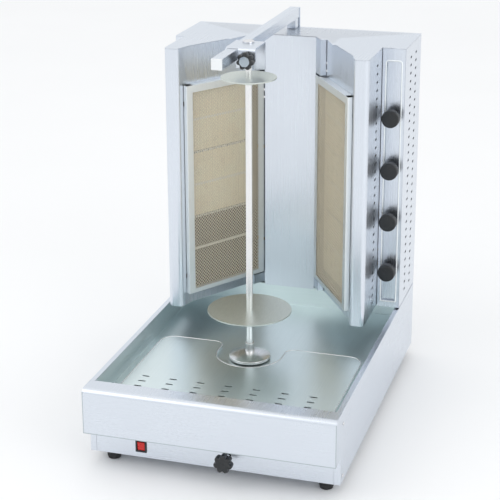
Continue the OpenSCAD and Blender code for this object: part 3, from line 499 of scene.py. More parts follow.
# Colour, worn colour, roughness, speckles in a metre, wear, and speckle depth where it differs
MOULDED = {
    "Rocker red": ((0.62, 0.015, 0.010), (0.72, 0.10, 0.08), 0.22, 900.0, 0.2, 0.00002),
    "White plastic": ((0.80, 0.82, 0.83), (0.62, 0.63, 0.62), 0.35, 900.0, 0.25),
    "Strip ceramic": ((0.82, 0.81, 0.74), (0.60, 0.57, 0.49), 0.7, 1200.0, 0.6, 0.0001),
    "Mesh wire": ((0.74, 0.68, 0.56), (0.50, 0.45, 0.37), 0.6, 900.0, 0.4),
    "Foot rubber": ((0.022, 0.022, 0.023), (0.07, 0.07, 0.068), 0.62, 1100.0, 0.5, 0.0001),
}


def finishes():
    """All finishes of the object, by name; they are built once."""
    if "Brushed sheet" in bpy.data.materials:
        return bpy.data.materials
    grain_group()
    speckle_group()
    cell_group()
    scene = bpy.context.scene
    sheet, burner, knob = scene.broiler_sheet, scene.broiler_burner, scene.broiler_knob
    colour, shade = tuple(sheet.colour), tuple(sheet.shade)
    across, along = sheet.grain_across, sheet.grain_along
    brushed("Brushed sheet", colour, shade, sheet.roughness, 0.0, across, along)
    brushed("Upright sheet", colour, shade, sheet.roughness, 1.0, across, along)
    for name, (tint, grain, rough, upright, finer, longer, depth, haze) in SHEET_METALS.items():
        brushed(name, tint, grain, rough, upright, across * finer, along * longer, depth, haze)
    for name, values in CAST_METALS.items():
        brushed(name, *values)
    moulded("Knob plastic", tuple(knob.plastic), (0.05, 0.055, 0.06), 0.32)
    for name, values in MOULDED.items():
        moulded(name, *values)
    ceramic("Burner tile", tuple(burner.tile), burner.tile_cell)
    return bpy.data.materials


# ---------- shapes ----------


def new_object(name, mesh):
    made = bpy.data.objects.new(name, mesh)
    bpy.context.scene.collection.objects.link(made)
    return made


def from_bmesh(name, bm):
    mesh = bpy.data.meshes.new(name)
    bm.to_mesh(mesh)
    bm.free()
    mesh.shade_smooth()
    mesh.set_sharp_from_angle(angle=SMOOTH)
    return new_object(name, mesh)


def baked(obj):
    """Turns the object's modifiers into its mesh."""
    graph = bpy.context.evaluated_depsgraph_get()
    mesh = bpy.data.meshes.new_from_object(
        obj.evaluated_get(graph), preserve_all_data_layers=True, depsgraph=graph)
    old = obj.data
    obj.modifiers.clear()
    obj.data = mesh
    mesh.name = obj.name
    if old.users == 0:
        bpy.data.meshes.remove(old)
    return obj


def finished(obj, finish, slot, body, *nodes):
    """Gives a piece its finish and its body, and hides the CAD nodes that it stands for."""
    obj.data.materials.clear()
    obj.data.materials.append(finishes()[finish])
    for polygon in obj.data.polygons:
        polygon.material_index = 0
    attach(obj, body)
    if nodes:
        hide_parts(*nodes)
    return obj


def welded(*nodes):
    """The merged shape of CAD nodes, with its flat faces whole again."""
    bm = bmesh.new()
    for name in nodes:
        bm.from_mesh(frame["nodes"][name].data)
    bmesh.ops.remove_doubles(bm, verts=bm.verts, dist=WELD)
    bmesh.ops.dissolve_degenerate(bm, edges=bm.edges, dist=WELD)
    bmesh.ops.dissolve_limit(bm, angle_limit=FLAT, verts=bm.verts, edges=bm.edges)
    bmesh.ops.recalc_face_normals(bm, faces=bm.faces)
    return bm


def mark_folds(bm, outer, inner, rim):
    """Weights each sharp edge: a fold of the sheet, or the cut rim of it."""
    layer = bm.edges.layers.float.new("bevel_weight_edge")
    widest = max(outer, inner, rim)
    for edge in bm.edges:
        if len(edge.link_faces) != 2 or edge.calc_face_angle(0.0) < SHARP:
            continue
        length = max(edge.calc_length(), WELD)
        narrow = min(face.calc_area() for face in edge.link_faces) / length
        radius = rim if narrow < CUT_EDGE else outer if edge.is_convex else inner
        edge[layer] = radius / widest
    return widest


def rounded(name, nodes, finish, slot, outer, inner, rim, segments=3):
    """A copy of CAD nodes whose folds and cut edges are rounded as bent sheet is."""
    bm = welded(*nodes)
    width = mark_folds(bm, outer, inner, rim)
    obj = from_bmesh(name, bm)
    bevel = obj.modifiers.new("Folds", "BEVEL")
    bevel.limit_method = "WEIGHT"
    bevel.width = width
    bevel.segments = segments
    bevel.miter_outer = "MITER_ARC"
    bevel.use_clamp_overlap = True
    even = obj.modifiers.new("Even shade", "WEIGHTED_NORMAL")
    even.keep_sharp = True
    baked(obj)
    return finished(obj, finish, slot, frame["nodes"][nodes[0]]["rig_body"], *nodes)


def turned(bm, profile, count=96):
    """Adds a turned shape about Z from (radius, height) points, bottom first."""
    rings = []
    for radius, height in profile:
        if radius < WELD:
            rings.append([bm.verts.new((0, 0, height))])
        else:
            rings.append([bm.verts.new((radius * math.cos(a), radius * math.sin(a), height))
                          for a in (2 * math.pi * i / count for i in range(count))])
    return skinned(bm, rings, count)


def skinned(bm, rings, count):
    """Joins rings of points by faces; a ring of one point closes an end."""
    for low, high in zip(rings, rings[1:]):
        for i in range(count):
            j = (i + 1) % count
            corners = [low[i % len(low)], low[j % len(low)], high[j % len(high)],
                       high[i % len(high)]]
            bm.faces.new(list(dict.fromkeys(corners)))
    return bm


def scaled(profile, radius, height):
    """A profile given in shares of a radius and a height, in metres."""
    return [(radius * r, height * h) for r, h in profile]


def rounded_profile(radius, low, high, edge, steps=4):
    """Profile of a closed turned drum whose two edges are rounded."""
    arc = [math.pi / 2 * i / steps for i in range(steps + 1)]
    points = [(0.0, low)]
    points += [(radius - edge + edge * math.sin(a), low + edge - edge * math.cos(a)) for a in arc]
    points += [(radius - edge + edge * math.cos(a), high - edge + edge * math.sin(a)) for a in arc]
    return points + [(0.0, high)]


def along_axis(place, direction):
    """Matrix that puts a shape's Z along a direction at a place."""
    turn = Vector(direction).to_track_quat("Z", "Y").to_matrix().to_4x4()
    return Matrix.Translation(place) @ turn


def islands(node_name):
    """Boxes (low, high) of the separate solids of a CAD node, lowest first."""
    bm = welded(node_name)
    left, boxes = set(bm.verts), []
    while left:
        todo, seen = [left.pop()], []
        while todo:
            vert = todo.pop()
            seen.append(vert.co.copy())
            for edge in vert.link_edges:
                other = edge.other_vert(vert)
                if other in left:
                    left.remove(other)
                    todo.append(other)
        boxes.append((Vector(map(min, zip(*seen))), Vector(map(max, zip(*seen)))))
    bm.free()
    return sorted(boxes, key=lambda b: tuple(round(c, 4) for c in (b[0].z, b[0].x, b[0].y)))


def wall_frame(node_name, towards):
    """Frame of a flat CAD node: X along it, Y up, Z out of its face, and its size."""
    bm = welded(node_name)
    flat = [f for f in bm.faces if abs(f.normal.z) < 0.1 and f.normal.dot(towards) > 0.5]
    out = max(flat, key=lambda f: f.calc_area()).normal.copy()
    along = Vector((out.y, -out.x, 0)).normalized() * -1
    spots = [(v.co.dot(along), v.co.z, v.co.dot(out)) for v in bm.verts]
    bm.free()
    low = Vector(map(min, zip(*spots)))
    high = Vector(map(max, zip(*spots)))
    origin = along * low.x + Vector((0, 0, low.y)) + out * high.z
    turn = Matrix((along, (0, 0, 1), out)).transposed().to_4x4()
    return Matrix.Translation(origin) @ turn, high - low


# ---------- geometry node trees ----------


def scatter_tree():
    """Puts a shape on each point, turned to the point's direction."""
    tree, given, out = group_tree("Scatter on points", "GeometryNodeTree", [
        ("Geometry", "INPUT", "NodeSocketGeometry", None),
        ("Shape", "INPUT", "NodeSocketObject", None),
        ("Size", "INPUT", "NodeSocketFloat", 1.0),
        ("Finish", "INPUT", "NodeSocketMaterial", None),
        ("Geometry", "OUTPUT", "NodeSocketGeometry", None)])
    shape = node(tree, "GeometryNodeObjectInfo", {"Object": given.outputs["Shape"]})
    facing = node(tree, "GeometryNodeInputNamedAttribute", {"Name": "facing"},
                  data_type="FLOAT_VECTOR")
    turn = node(tree, "FunctionNodeAlignRotationToVector", {"Vector": facing.outputs[0]},
                axis="Z")
    placed = node(tree, "GeometryNodeInstanceOnPoints", {
        "Points": given.outputs["Geometry"], "Instance": shape.outputs["Geometry"],
        "Rotation": turn.outputs[0], "Scale": given.outputs["Size"]})
    end_tree(tree, placed.outputs[0], given.outputs["Finish"], out)
    return tree


def end_tree(tree, instances, finish, out):
    real = node(tree, "GeometryNodeRealizeInstances", {0: instances})
    painted = node(tree, "GeometryNodeSetMaterial", {"Geometry": real.outputs[0],
                                                     "Material": finish})
    tree.links.new(painted.outputs[0], out.inputs[0])


def guard_tree():
    """Two layers of straight wires that cross at a right angle inside a rectangle."""
    tree, given, out = group_tree("Guard wires", "GeometryNodeTree", [
        ("Geometry", "INPUT", "NodeSocketGeometry", None),
        ("Width", "INPUT", "NodeSocketFloat", 0.2),
        ("Height", "INPUT", "NodeSocketFloat", 0.5),
        ("Pitch", "INPUT", "NodeSocketFloat", 0.0045),
        ("Wire", "INPUT", "NodeSocketFloat", 0.0006),
        ("Finish", "INPUT", "NodeSocketMaterial", None),
        ("Geometry", "OUTPUT", "NodeSocketGeometry", None)])
    width, height = given.outputs["Width"], given.outputs["Height"]
    wire = given.outputs["Wire"]
    step = math_node(tree, "MULTIPLY", given.outputs["Pitch"], math.sqrt(2))
    count = math_node(tree, "FLOOR", math_node(
        tree, "DIVIDE", math_node(tree, "ADD", width, height), step))
    points = node(tree, "GeometryNodeMeshLine", {"Count": count})
    index = node(tree, "GeometryNodeInputIndex").outputs[0]
    offset = math_node(tree, "MULTIPLY", math_node(tree, "ADD", index, 0.5), step)
    offset = math_node(tree, "SUBTRACT", offset, height)
    low = math_node(tree, "MAXIMUM", 0.0, math_node(tree, "MULTIPLY", offset, -1.0))
    high = math_node(tree, "MINIMUM", height, math_node(tree, "SUBTRACT", width, offset))
    middle = math_node(tree, "MULTIPLY", math_node(tree, "ADD", low, high), 0.5)
    side = math_node(tree, "ADD", middle, offset)
    length = math_node(tree, "MULTIPLY", math_node(tree, "SUBTRACT", high, low), math.sqrt(2))
    length = math_node(tree, "MAXIMUM", length, SHORTEST_WIRE)
    layers = []
    for layer in (0, 1):
        x = side if layer == 0 else math_node(tree, "SUBTRACT", width, side)
        depth = math_node(tree, "MULTIPLY", wire, WIRE_FRONT + WIRE_STEP * layer)
        spot = node(tree, "ShaderNodeCombineXYZ", {0: x, 1: middle, 2: depth})
        moved = node(tree, "GeometryNodeSetPosition", {
            "Geometry": points.outputs[0], "Position": spot.outputs[0]})
        thick = node(tree, "ShaderNodeCombineXYZ", {0: 1.0, 1: wire, 2: wire})
        bar = node(tree, "GeometryNodeMeshCube", {"Size": thick.outputs[0]})
        scale = node(tree, "ShaderNodeCombineXYZ", {0: length, 1: 1.0, 2: 1.0})
        placed = node(tree, "GeometryNodeInstanceOnPoints", {
            "Points": moved.outputs[0], "Instance": bar.outputs[0],
            "Rotation": (0.0, 0.0, math.radians(45 if layer == 0 else -45)),
            "Scale": scale.outputs[0]})
        layers.append(placed.outputs[0])
    joined = node(tree, "GeometryNodeJoinGeometry")
    for layer in layers:
        tree.links.new(layer, joined.inputs[0])
    end_tree(tree, joined.outputs[0], given.outputs["Finish"], out)
    return tree


def bead_tree():
    """A round bead that follows the outline given as edges."""
    tree, given, out = group_tree("Rolled bead", "GeometryNodeTree", [
        ("Geometry", "INPUT", "NodeSocketGeometry", None),
        ("Radius", "INPUT", "NodeSocketFloat", 0.0018),
        ("Step", "INPUT", "NodeSocketFloat", 0.004),
        ("Finish", "INPUT", "NodeSocketMaterial", None),
        ("Geometry", "OUTPUT", "NodeSocketGeometry", None)])
    path = node(tree, "GeometryNodeMeshToCurve", {"Mesh": given.outputs["Geometry"]})
    even = node(tree, "GeometryNodeResampleCurve", {
        "Curve": path.outputs[0], "Length": given.outputs["Step"]}, mode="LENGTH")
    ring = node(tree, "GeometryNodeCurvePrimitiveCircle", {
        "Resolution": 12, "Radius": given.outputs["Radius"]})
    tube = node(tree, "GeometryNodeCurveToMesh", {
        "Curve": even.outputs[0], "Profile Curve": ring.outputs[0]})
    end_tree(tree, tube.outputs[0], given.outputs["Finish"], out)
    return tree


def teeth_tree():
    """A row of small blocks along X with one distance between them."""
    tree, given, out = group_tree("Row of teeth", "GeometryNodeTree", [
        ("Geometry", "INPUT", "NodeSocketGeometry", None),
        ("Count", "INPUT", "NodeSocketInt", 10),
        ("Pitch", "INPUT", "NodeSocketFloat", 0.006),
        ("Tooth", "INPUT", "NodeSocketVector", (0.003, 0.004, 0.001)),
        ("Finish", "INPUT", "NodeSocketMaterial", None),
        ("Geometry", "OUTPUT", "NodeSocketGeometry", None)])
    gap = node(tree, "ShaderNodeCombineXYZ", {0: given.outputs["Pitch"]})
    row = node(tree, "GeometryNodeMeshLine", {"Count": given.outputs["Count"],
                                              "Offset": gap.outputs[0]})
    tooth = node(tree, "GeometryNodeMeshCube", {"Size": given.outputs["Tooth"]})
    placed = node(tree, "GeometryNodeInstanceOnPoints", {
        "Points": row.outputs[0], "Instance": tooth.outputs[0]})
    shown = node(tree, "GeometryNodeInstanceOnPoints", {
        "Points": given.outputs["Geometry"], "Instance": placed.outputs[0]})
    end_tree(tree, shown.outputs[0], given.outputs["Finish"], out)
    return tree


def grips_tree():
    """A ring of ribs round the Z axis."""
    tree, given, out = group_tree("Ring of grips", "GeometryNodeTree", [
        ("Geometry", "INPUT", "NodeSocketGeometry", None),
        ("Count", "INPUT", "NodeSocketInt", 36),
        ("Radius", "INPUT", "NodeSocketFloat", 0.02),
        ("Rib", "INPUT", "NodeSocketVector", (0.001, 0.001, 0.01)),
        ("Height", "INPUT", "NodeSocketFloat", 0.01),
        ("Finish", "INPUT", "NodeSocketMaterial", None),
        ("Geometry", "OUTPUT", "NodeSocketGeometry", None)])
    ring = node(tree, "GeometryNodeMeshCircle", {"Vertices": given.outputs["Count"],
                                                 "Radius": given.outputs["Radius"]})
    index = node(tree, "GeometryNodeInputIndex").outputs[0]
    part = math_node(tree, "DIVIDE", math.tau, given.outputs["Count"])
    turn = node(tree, "ShaderNodeCombineXYZ", {2: math_node(tree, "MULTIPLY", index, part)})
    rib = node(tree, "GeometryNodeMeshCube", {"Size": given.outputs["Rib"]})
    placed = node(tree, "GeometryNodeInstanceOnPoints", {
        "Points": ring.outputs[0], "Instance": rib.outputs[0], "Rotation": turn.outputs[0]})
    real = node(tree, "GeometryNodeRealizeInstances", {0: placed.outputs[0]})
    lift = node(tree, "ShaderNodeCombineXYZ", {2: given.outputs["Height"]})
    raised = node(tree, "GeometryNodeTransform", {0: real.outputs[0],
                                                  "Translation": lift.outputs[0]})
    joined = node(tree, "GeometryNodeJoinGeometry")
    tree.links.new(given.outputs["Geometry"], joined.inputs[0])
    tree.links.new(raised.outputs[0], joined.inputs[0])
    end_tree(tree, joined.outputs[0], given.outputs["Finish"], out)
    return tree


TREES = {
    "Scatter on points": scatter_tree,
    "Guard wires": guard_tree,
    "Rolled bead": bead_tree,
    "Row of teeth": teeth_tree,
    "Ring of grips": grips_tree,
}


def grown(name, mesh, tree_name, values):
    """Runs a geometry node tree on a mesh and returns the plain result."""
    tree = bpy.data.node_groups.get(tree_name) or TREES[tree_name]()
    obj = new_object(name, mesh)
    growth = obj.modifiers.new("Growth", "NODES")
    growth.node_group = tree
    for item in tree.interface.items_tree:
        if item.item_type == "SOCKET" and item.in_out == "INPUT" and item.name in values:
            growth[item.identifier] = values[item.name]
    bpy.context.view_layer.update()
    return baked(obj)


def points_mesh(name, points, facing=None):
    mesh = bpy.data.meshes.new(name)
    mesh.from_pydata([tuple(p) for p in points], [], [])
    if facing:
        attribute = mesh.attributes.new("facing", "FLOAT_VECTOR", "POINT")
        for item, way in zip(attribute.data, facing):
            item.vector = way
    return mesh


def scattered(name, shape, points, facing, finish):
    """Copies of one shape on points, each turned its own way."""
    made = grown(name, points_mesh(name, points, facing), "Scatter on points",
                 {"Shape": shape, "Size": 1.0, "Finish": finishes()[finish]})
    bpy.data.objects.remove(shape)
    made.data.shade_smooth()
    made.data.set_sharp_from_angle(angle=SMOOTH)
    return made


def edge_loops(node_name, axis, level):
    """Closed loops of sharp edges of a CAD node on one plane, longest first."""
    bm = welded(node_name)
    edges = {e for e in bm.edges if all(abs(v.co[axis] - level) < WELD for v in e.verts)
             and e.calc_face_angle(0.0) > SHARP}
    loops = []
    while edges:
        first = min(edges, key=lambda e: tuple(round(c, 5) for v in e.verts for c in v.co))
        edges.remove(first)
        start, here = first.verts
        chain = [start.co.copy()]
        while here is not start:
            chain.append(here.co.copy())
            edge = next(e for e in here.link_edges if e in edges)
            edges.remove(edge)
            here = edge.other_vert(here)
        loops.append(chain)
    bm.free()
    return sorted(loops, reverse=True, key=lambda loop: sum(
        (a - b).length for a, b in zip(loop, loop[1:] + loop[:1])))


def beaded(name, loop, offset, radius, finish, body):
    """A round bead along a closed loop of points."""
    path = bpy.data.meshes.new(name)
    path.from_pydata([tuple(p + offset) for p in loop],
                     [(i, (i + 1) % len(loop)) for i in range(len(loop))], [])
    step = bpy.context.scene.broiler_tray.bead_step
    bead = grown(name, path, "Rolled bead", {
        "Radius": radius, "Step": step, "Finish": finishes()[finish]})
    bead.data.shade_smooth()
    return finished(bead, finish, "stainless", body)


def strip(bm, low, high):
    """Adds a thin strip between two corners, with its edges rounded."""
    made = bmesh.ops.create_cube(bm, size=1.0)["verts"]
    bmesh.ops.scale(bm, vec=high - low, verts=made)
    bmesh.ops.translate(bm, vec=(low + high) / 2, verts=made)
    edges = list({e for v in made for e in v.link_edges})
    bmesh.ops.bevel(bm, geom=edges, offset=min(high - low) * 0.3, segments=2, affect="EDGES",
                    profile=0.5)


# ---------- operators ----------


class BroilerOperator:
    bl_options = {"REGISTER", "UNDO"}

    def execute(self, context):
        self.build(context)
        return {"FINISHED"}


class BROILER_OT_base(BroilerOperator, bpy.types.Operator):
    """Rounds the folds of the base's panels, its fascia and its plinth"""

    bl_idname = "broiler.base"
    bl_label = "Base panels"

    def build(self, context):
        sheet = context.scene.broiler_sheet
        for name in ("left_side_panel", "right_side_panel", "back_panel", "front_fascia",
                     "plinth_panel", "base_floor"):
            rounded("sheet_" + name, [name], "Brushed sheet", "stainless", sheet.fold,
                    sheet.fold / 2, sheet.rim)
        # Thin strips along the fascia's bottom edge and up its two ends, in a darker finish:
        # painted shade of the gap under the fascia and of the dark seams at its ends
        low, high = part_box("front_fascia")
        hem_shade_width, proud = sheet.hem_shade_width, sheet.rim
        bm = bmesh.new()
        strip(bm, Vector((low.x + hem_shade_width, low.y - proud, low.z)),
              Vector((high.x - hem_shade_width, low.y + proud, low.z + hem_shade_width)))
        for x in (low.x, high.x - hem_shade_width):
            strip(bm, Vector((x, low.y - proud, low.z)),
                  Vector((x + hem_shade_width, low.y + proud, high.z - 4 * hem_shade_width)))
        finished(from_bmesh("fascia_hem", bm), "Hem steel", "stainless", HOUSING)


class BROILER_OT_feet(BroilerOperator, bpy.types.Operator):
    """Turns the rubber feet"""

    bl_idname = "broiler.feet"
    bl_label = "Feet"

    def build(self, context):
        boxes = islands("feet")
        low, high = boxes[0]
        radius, height = (high.x - low.x) / 2, high.z - low.z
        profile = scaled(FOOT_PROFILE, radius, height)
        shape = from_bmesh("foot_shape", turned(bmesh.new(), profile, 48))
        middles = [Vector(((a.x + b.x) / 2, (a.y + b.y) / 2, a.z)) for a, b in boxes]
        made = scattered("rubber_feet", shape, middles, [(0, 0, 1)] * len(middles), "Foot rubber")
        finished(made, "Foot rubber", "black_rubber", HOUSING, "feet")


class BROILER_OT_tray(BroilerOperator, bpy.types.Operator):
    """Rounds the tray's deep folds"""

    bl_idname = "broiler.tray"
    bl_label = "Tray"

    def build(self, context):
        tray, sheet = context.scene.broiler_tray, context.scene.broiler_sheet
        rounded("folded_tray", ["drip_basin"], "Tray sheet", "stainless",
                tray.fold + sheet.fold / 2, tray.fold, sheet.rim, 5)


class BROILER_OT_drip_plate(BroilerOperator, bpy.types.Operator):
    """Rounds the drip plate and rolls a bead round it"""

    bl_idname = "broiler.drip_plate"
    bl_label = "Drip plate"

    def build(self, context):
        tray, sheet = context.scene.broiler_tray, context.scene.broiler_sheet
        body = frame["nodes"]["drip_plate"]["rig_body"]
        rounded("drip_plate_sheet", ["drip_plate"], "Tray sheet", "stainless", sheet.fold,
                sheet.fold / 2, sheet.rim)
        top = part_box("drip_plate")[1].z
        outline = edge_loops("drip_plate", 2, top)[0]
        beaded("drip_plate_bead", outline, Vector((0, 0, -0.55 * tray.bead)), tray.bead,
               "Polished steel", body)


class BROILER_OT_housing(BroilerOperator, bpy.types.Operator):
    """Rounds the folds of the housing, the wings and the top cover"""

    bl_idname = "broiler.housing"
    bl_label = "Housing and wings"

    def build(self, context):
        sheet = context.scene.broiler_sheet
        for name in ("left_housing_side", "right_housing_side", "control_panel",
                     "rear_deflector", "left_wing", "right_wing"):
            rounded("sheet_" + name, [name], "Upright sheet", "stainless", sheet.fold,
                    sheet.fold / 2, sheet.rim)
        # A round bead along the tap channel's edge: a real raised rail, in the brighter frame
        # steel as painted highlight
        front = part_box("control_panel")[0].y
        channel = edge_loops("control_panel", 1, front)[1]
        beaded("channel_rail", channel, Vector((0, sheet.rail * 0.4, 0)), sheet.rail,
               "Frame steel", HOUSING)
        rounded("sheet_top_cover", ["top_cover"], "Brushed sheet", "stainless", sheet.rim * 1.5,
                sheet.rim, sheet.rim)


class BROILER_OT_burner_frames(BroilerOperator, bpy.types.Operator):
    """Rounds the bright frames round the burners"""

    bl_idname = "broiler.burner_frames"
    bl_label = "Burner frames"

    def build(self, context):
        sheet = context.scene.broiler_sheet
        for name in ("left_frame", "right_frame"):
            rounded("bright_" + name, [name], "Frame steel", "frame_steel", sheet.fold * 0.75,
                    sheet.fold / 3, sheet.rim)


class BROILER_OT_guard_mesh(BroilerOperator, bpy.types.Operator):
    """Lays the crossed wires of the mesh in front of the tiles"""

    bl_idname = "broiler.guard_mesh"
    bl_label = "Guard mesh"

    def build(self, context):
        burner = context.scene.broiler_burner
        for side, towards in (("left", Vector((1, 0, 0))), ("right", Vector((-1, 0, 0)))):
            place, size = wall_frame(side + "_mesh", towards)
            made = grown(side + "_guard_wires", points_mesh(side + "_wires", [(0, 0, 0)]),
                         "Guard wires", {
                             "Width": size.x, "Height": size.y, "Pitch": burner.wire_pitch,
                             "Wire": burner.wire, "Finish": finishes()["Mesh wire"]})
            made.data.transform(place)
            finished(made, "Mesh wire", "dark_steel", HOUSING, side + "_mesh")


class BROILER_OT_tiles(BroilerOperator, bpy.types.Operator):
    """Sets the ceramic tiles and the strips between them"""

    bl_idname = "broiler.tiles"
    bl_label = "Ceramic tiles"

    def build(self, context):
        burner = context.scene.broiler_burner
        for side, towards in (("left", Vector((1, 0, 0))), ("right", Vector((-1, 0, 0)))):
            place, size = wall_frame(side + "_ceramics", towards)
            back = place.inverted()
            tiles = []
            for low, high in islands(side + "_ceramics"):
                middle = back @ ((low + high) / 2)
                tiles.append((middle.y, high.z - low.z))
            tall = tiles[0][1]
            bm = bmesh.new()
            bmesh.ops.create_cube(bm, size=1.0)
            bmesh.ops.scale(bm, vec=(size.x, tall, size.z), verts=bm.verts)
            bmesh.ops.bevel(bm, geom=bm.edges, offset=burner.tile_edge, segments=2,
                            affect="EDGES", profile=0.5)
            shape = from_bmesh(side + "_tile_shape", bm)
            middles = [Vector((size.x / 2, y, -size.z / 2)) for y, _ in tiles]
            made = scattered(side + "_tiles", shape, middles, [(0, 0, 1)] * len(middles),
                             "Burner tile")
            made.data.transform(place)
            finished(made, "Burner tile", "ceramic", HOUSING, side + "_ceramics")
            self.strips(side, place, size, tiles, burner)

    def strips(self, side, place, size, tiles, burner):
        """Plain strips on every second joint and toothed ones on the others."""
        joints = [(a[0] + b[0]) / 2 for a, b in zip(tiles, tiles[1:])]
        plain = [y for i, y in enumerate(joints) if i % 2 == 0]
        toothed = [y for i, y in enumerate(joints) if i % 2 == 1]
        bm = bmesh.new()
        for y in plain:
            self.bar(bm, size.x, burner.rib, PLAIN_STRIP_T, y, PLAIN_STRIP_AT)
        obj = from_bmesh(side + "_plain_strips", bm)
        obj.data.transform(place)
        finished(obj, "Strip ceramic", "ceramic", HOUSING)
        bm = bmesh.new()
        for y in toothed:
            self.bar(bm, size.x, burner.rib, TOOTHED_STRIP_T, y, TOOTHED_STRIP_AT)
        obj = from_bmesh(side + "_toothed_backs", bm)
        obj.data.transform(place)
        finished(obj, "Burner steel", "dark_steel", HOUSING)
        count = int(size.x / burner.rib_pitch)
        teeth = grown(side + "_strip_teeth", points_mesh(side + "_teeth_at", [
            (burner.rib_pitch / 2, y, TOOTH_AT) for y in toothed]), "Row of teeth", {
                "Count": count, "Pitch": burner.rib_pitch,
                "Tooth": (burner.rib_pitch * TOOTH_LENGTH, burner.rib * TOOTH_HEIGHT, TOOTH_T),
                "Finish": finishes()["Strip ceramic"]})
        teeth.data.transform(place)
        finished(teeth, "Strip ceramic", "ceramic", HOUSING)

    def bar(self, bm, length, height, thickness, y, z):
        """A strip along X whose middle is at the given Y and Z."""
        half = Vector((0, height / 2, thickness / 2))
        strip(bm, Vector((0, y, z)) - half, Vector((length, y, z)) + half)


class BROILER_OT_burner_bodies(BroilerOperator, bpy.types.Operator):
    """Rounds the cast burners behind the tiles"""

    bl_idname = "broiler.burner_bodies"
    bl_label = "Burner bodies"

    def build(self, context):
        sheet = context.scene.broiler_sheet
        for side in ("left", "right"):
            for level in ("lower", "upper"):
                name = f"{side}_{level}_burner"
                rounded("cast_" + name, [name], "Burner steel", "dark_steel", sheet.rim * 2,
                        sheet.rim, sheet.rim)


class BROILER_OT_spit(BroilerOperator, bpy.types.Operator):
    """Rounds the spit, its domed plate and its discs"""

    bl_idname = "broiler.spit"
    bl_label = "Spit and discs"

    def build(self, context):
        rim = context.scene.broiler_sheet.rim
        for name, finish, slot, edge in (
                ("spit_rod", "Satin bar", "bright_steel", 0.0008),
                ("drive_dome", "Satin bar", "bright_steel", 0.0012),
                ("drive_shaft", "Polished steel", "bright_steel", 0.0005),
                ("lower_disc", "Satin disc", "stainless", rim * 2),
                ("upper_disc", "Satin disc", "stainless", rim * 2),
                ("disc_screw", "Polished steel", "dark_steel", 0.0005)):
            rounded("turned_" + name, [name], finish, slot, edge, rim, rim)


class BROILER_OT_arm(BroilerOperator, bpy.types.Operator):
    """Rounds the arm, its end cap, the clamp block and the pivot pin"""

    bl_idname = "broiler.arm"
    bl_label = "Arm and clamp"

    def build(self, context):
        sheet = context.scene.broiler_sheet
        rounded("square_arm", ["support_arm"], "Brushed sheet", "stainless", sheet.fold,
                sheet.rim, sheet.rim)
        rounded("arm_cap", ["arm_end_cap"], "White plastic", "white_plastic", sheet.fold * 0.7,
                sheet.rim, sheet.rim)
        rounded("folded_clamp", ["clamp_block"], "Upright sheet", "stainless", sheet.fold * 0.6,
                sheet.rim, sheet.rim)
        rounded("pivot_cap", ["pivot_pin"], "Polished steel", "bright_steel", 0.0008, sheet.rim,
                sheet.rim)


class BROILER_OT_star_knobs(BroilerOperator, bpy.types.Operator):
    """Moulds the two star knobs"""

    bl_idname = "broiler.star_knobs"
    bl_label = "Star knobs"

    def build(self, context):
        knob = context.scene.broiler_knob
        for name, capped in (("clamp_knob", True), ("carriage_knob", False)):
            low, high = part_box(name)
            radius = (high.z - low.z) / 2
            middle = Vector(((low.x + high.x) / 2, low.y, (low.z + high.z) / 2))
            thick = min(high.y - low.y, radius)
            place = along_axis(middle + Vector((0, thick, 0)), FORWARD)
            bm = self.star(radius, thick, knob)
            self.washer(bm, radius)
            if capped:
                turned(bm, [(0, -STEM_L), (STEM_R, -STEM_L), (STEM_R, 0.0), (0, 0.0)], 32)
            bmesh.ops.recalc_face_normals(bm, faces=bm.faces)
            obj = from_bmesh("star_" + name, bm)
            obj.data.transform(place)
            body = frame["nodes"][name]["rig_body"]
            finished(obj, "Knob plastic", "black_plastic", body, name)
            cap = bmesh.new()
            share, rise = BRIGHT_CAP if capped else PLAIN_CAP
            face, inside = radius * share, thick - CAP_DEPTH
            turned(cap, [(0, inside), (face, inside), (face, thick + rise * 0.1),
                         (face * 0.94, thick + rise * 0.7), (face * 0.6, thick + rise),
                         (0, thick + rise)], 64)
            bmesh.ops.recalc_face_normals(cap, faces=cap.faces)
            disc = from_bmesh(name + "_face", cap)
            disc.data.transform(place @ Matrix.Translation((0, 0, -rise)))
            finished(disc, "Knob cap" if capped else "Knob plastic",
                     "bright_steel" if capped else "black_plastic", body)

    def star(self, radius, thick, knob):
        """A closed star with soft lobes from rings of points."""
        bm = bmesh.new()
        count = knob.lobes * LOBE_POINTS
        rings = [[bm.verts.new((0, 0, 0))]]
        outline = []
        for i in range(count):
            angle = math.tau * i / count
            wave = (1 - math.cos(angle * knob.lobes)) / 2
            outline.append((angle, radius - knob.lobe_depth * wave ** LOBE_POWER * LOBE_CUT))
        for share, height in STAR_PROFILE:
            ring = []
            for angle, reach in outline:
                flat = min(reach, radius - knob.lobe_depth * INNER_CUT)
                r = reach * share if share > LOBED_FROM else flat * share
                ring.append(bm.verts.new((r * math.sin(angle), r * math.cos(angle),
                                          height * thick)))
            rings.append(ring)
        rings.append([bm.verts.new((0, 0, STAR_PROFILE[-1][1] * thick))])
        return skinned(bm, rings, count)

    def washer(self, bm, radius):
        reach = radius * WASHER_R
        turned(bm, [(0, WASHER_LOW), (reach, WASHER_LOW), (reach, WASHER_HIGH),
                    (0, WASHER_HIGH)], 48)


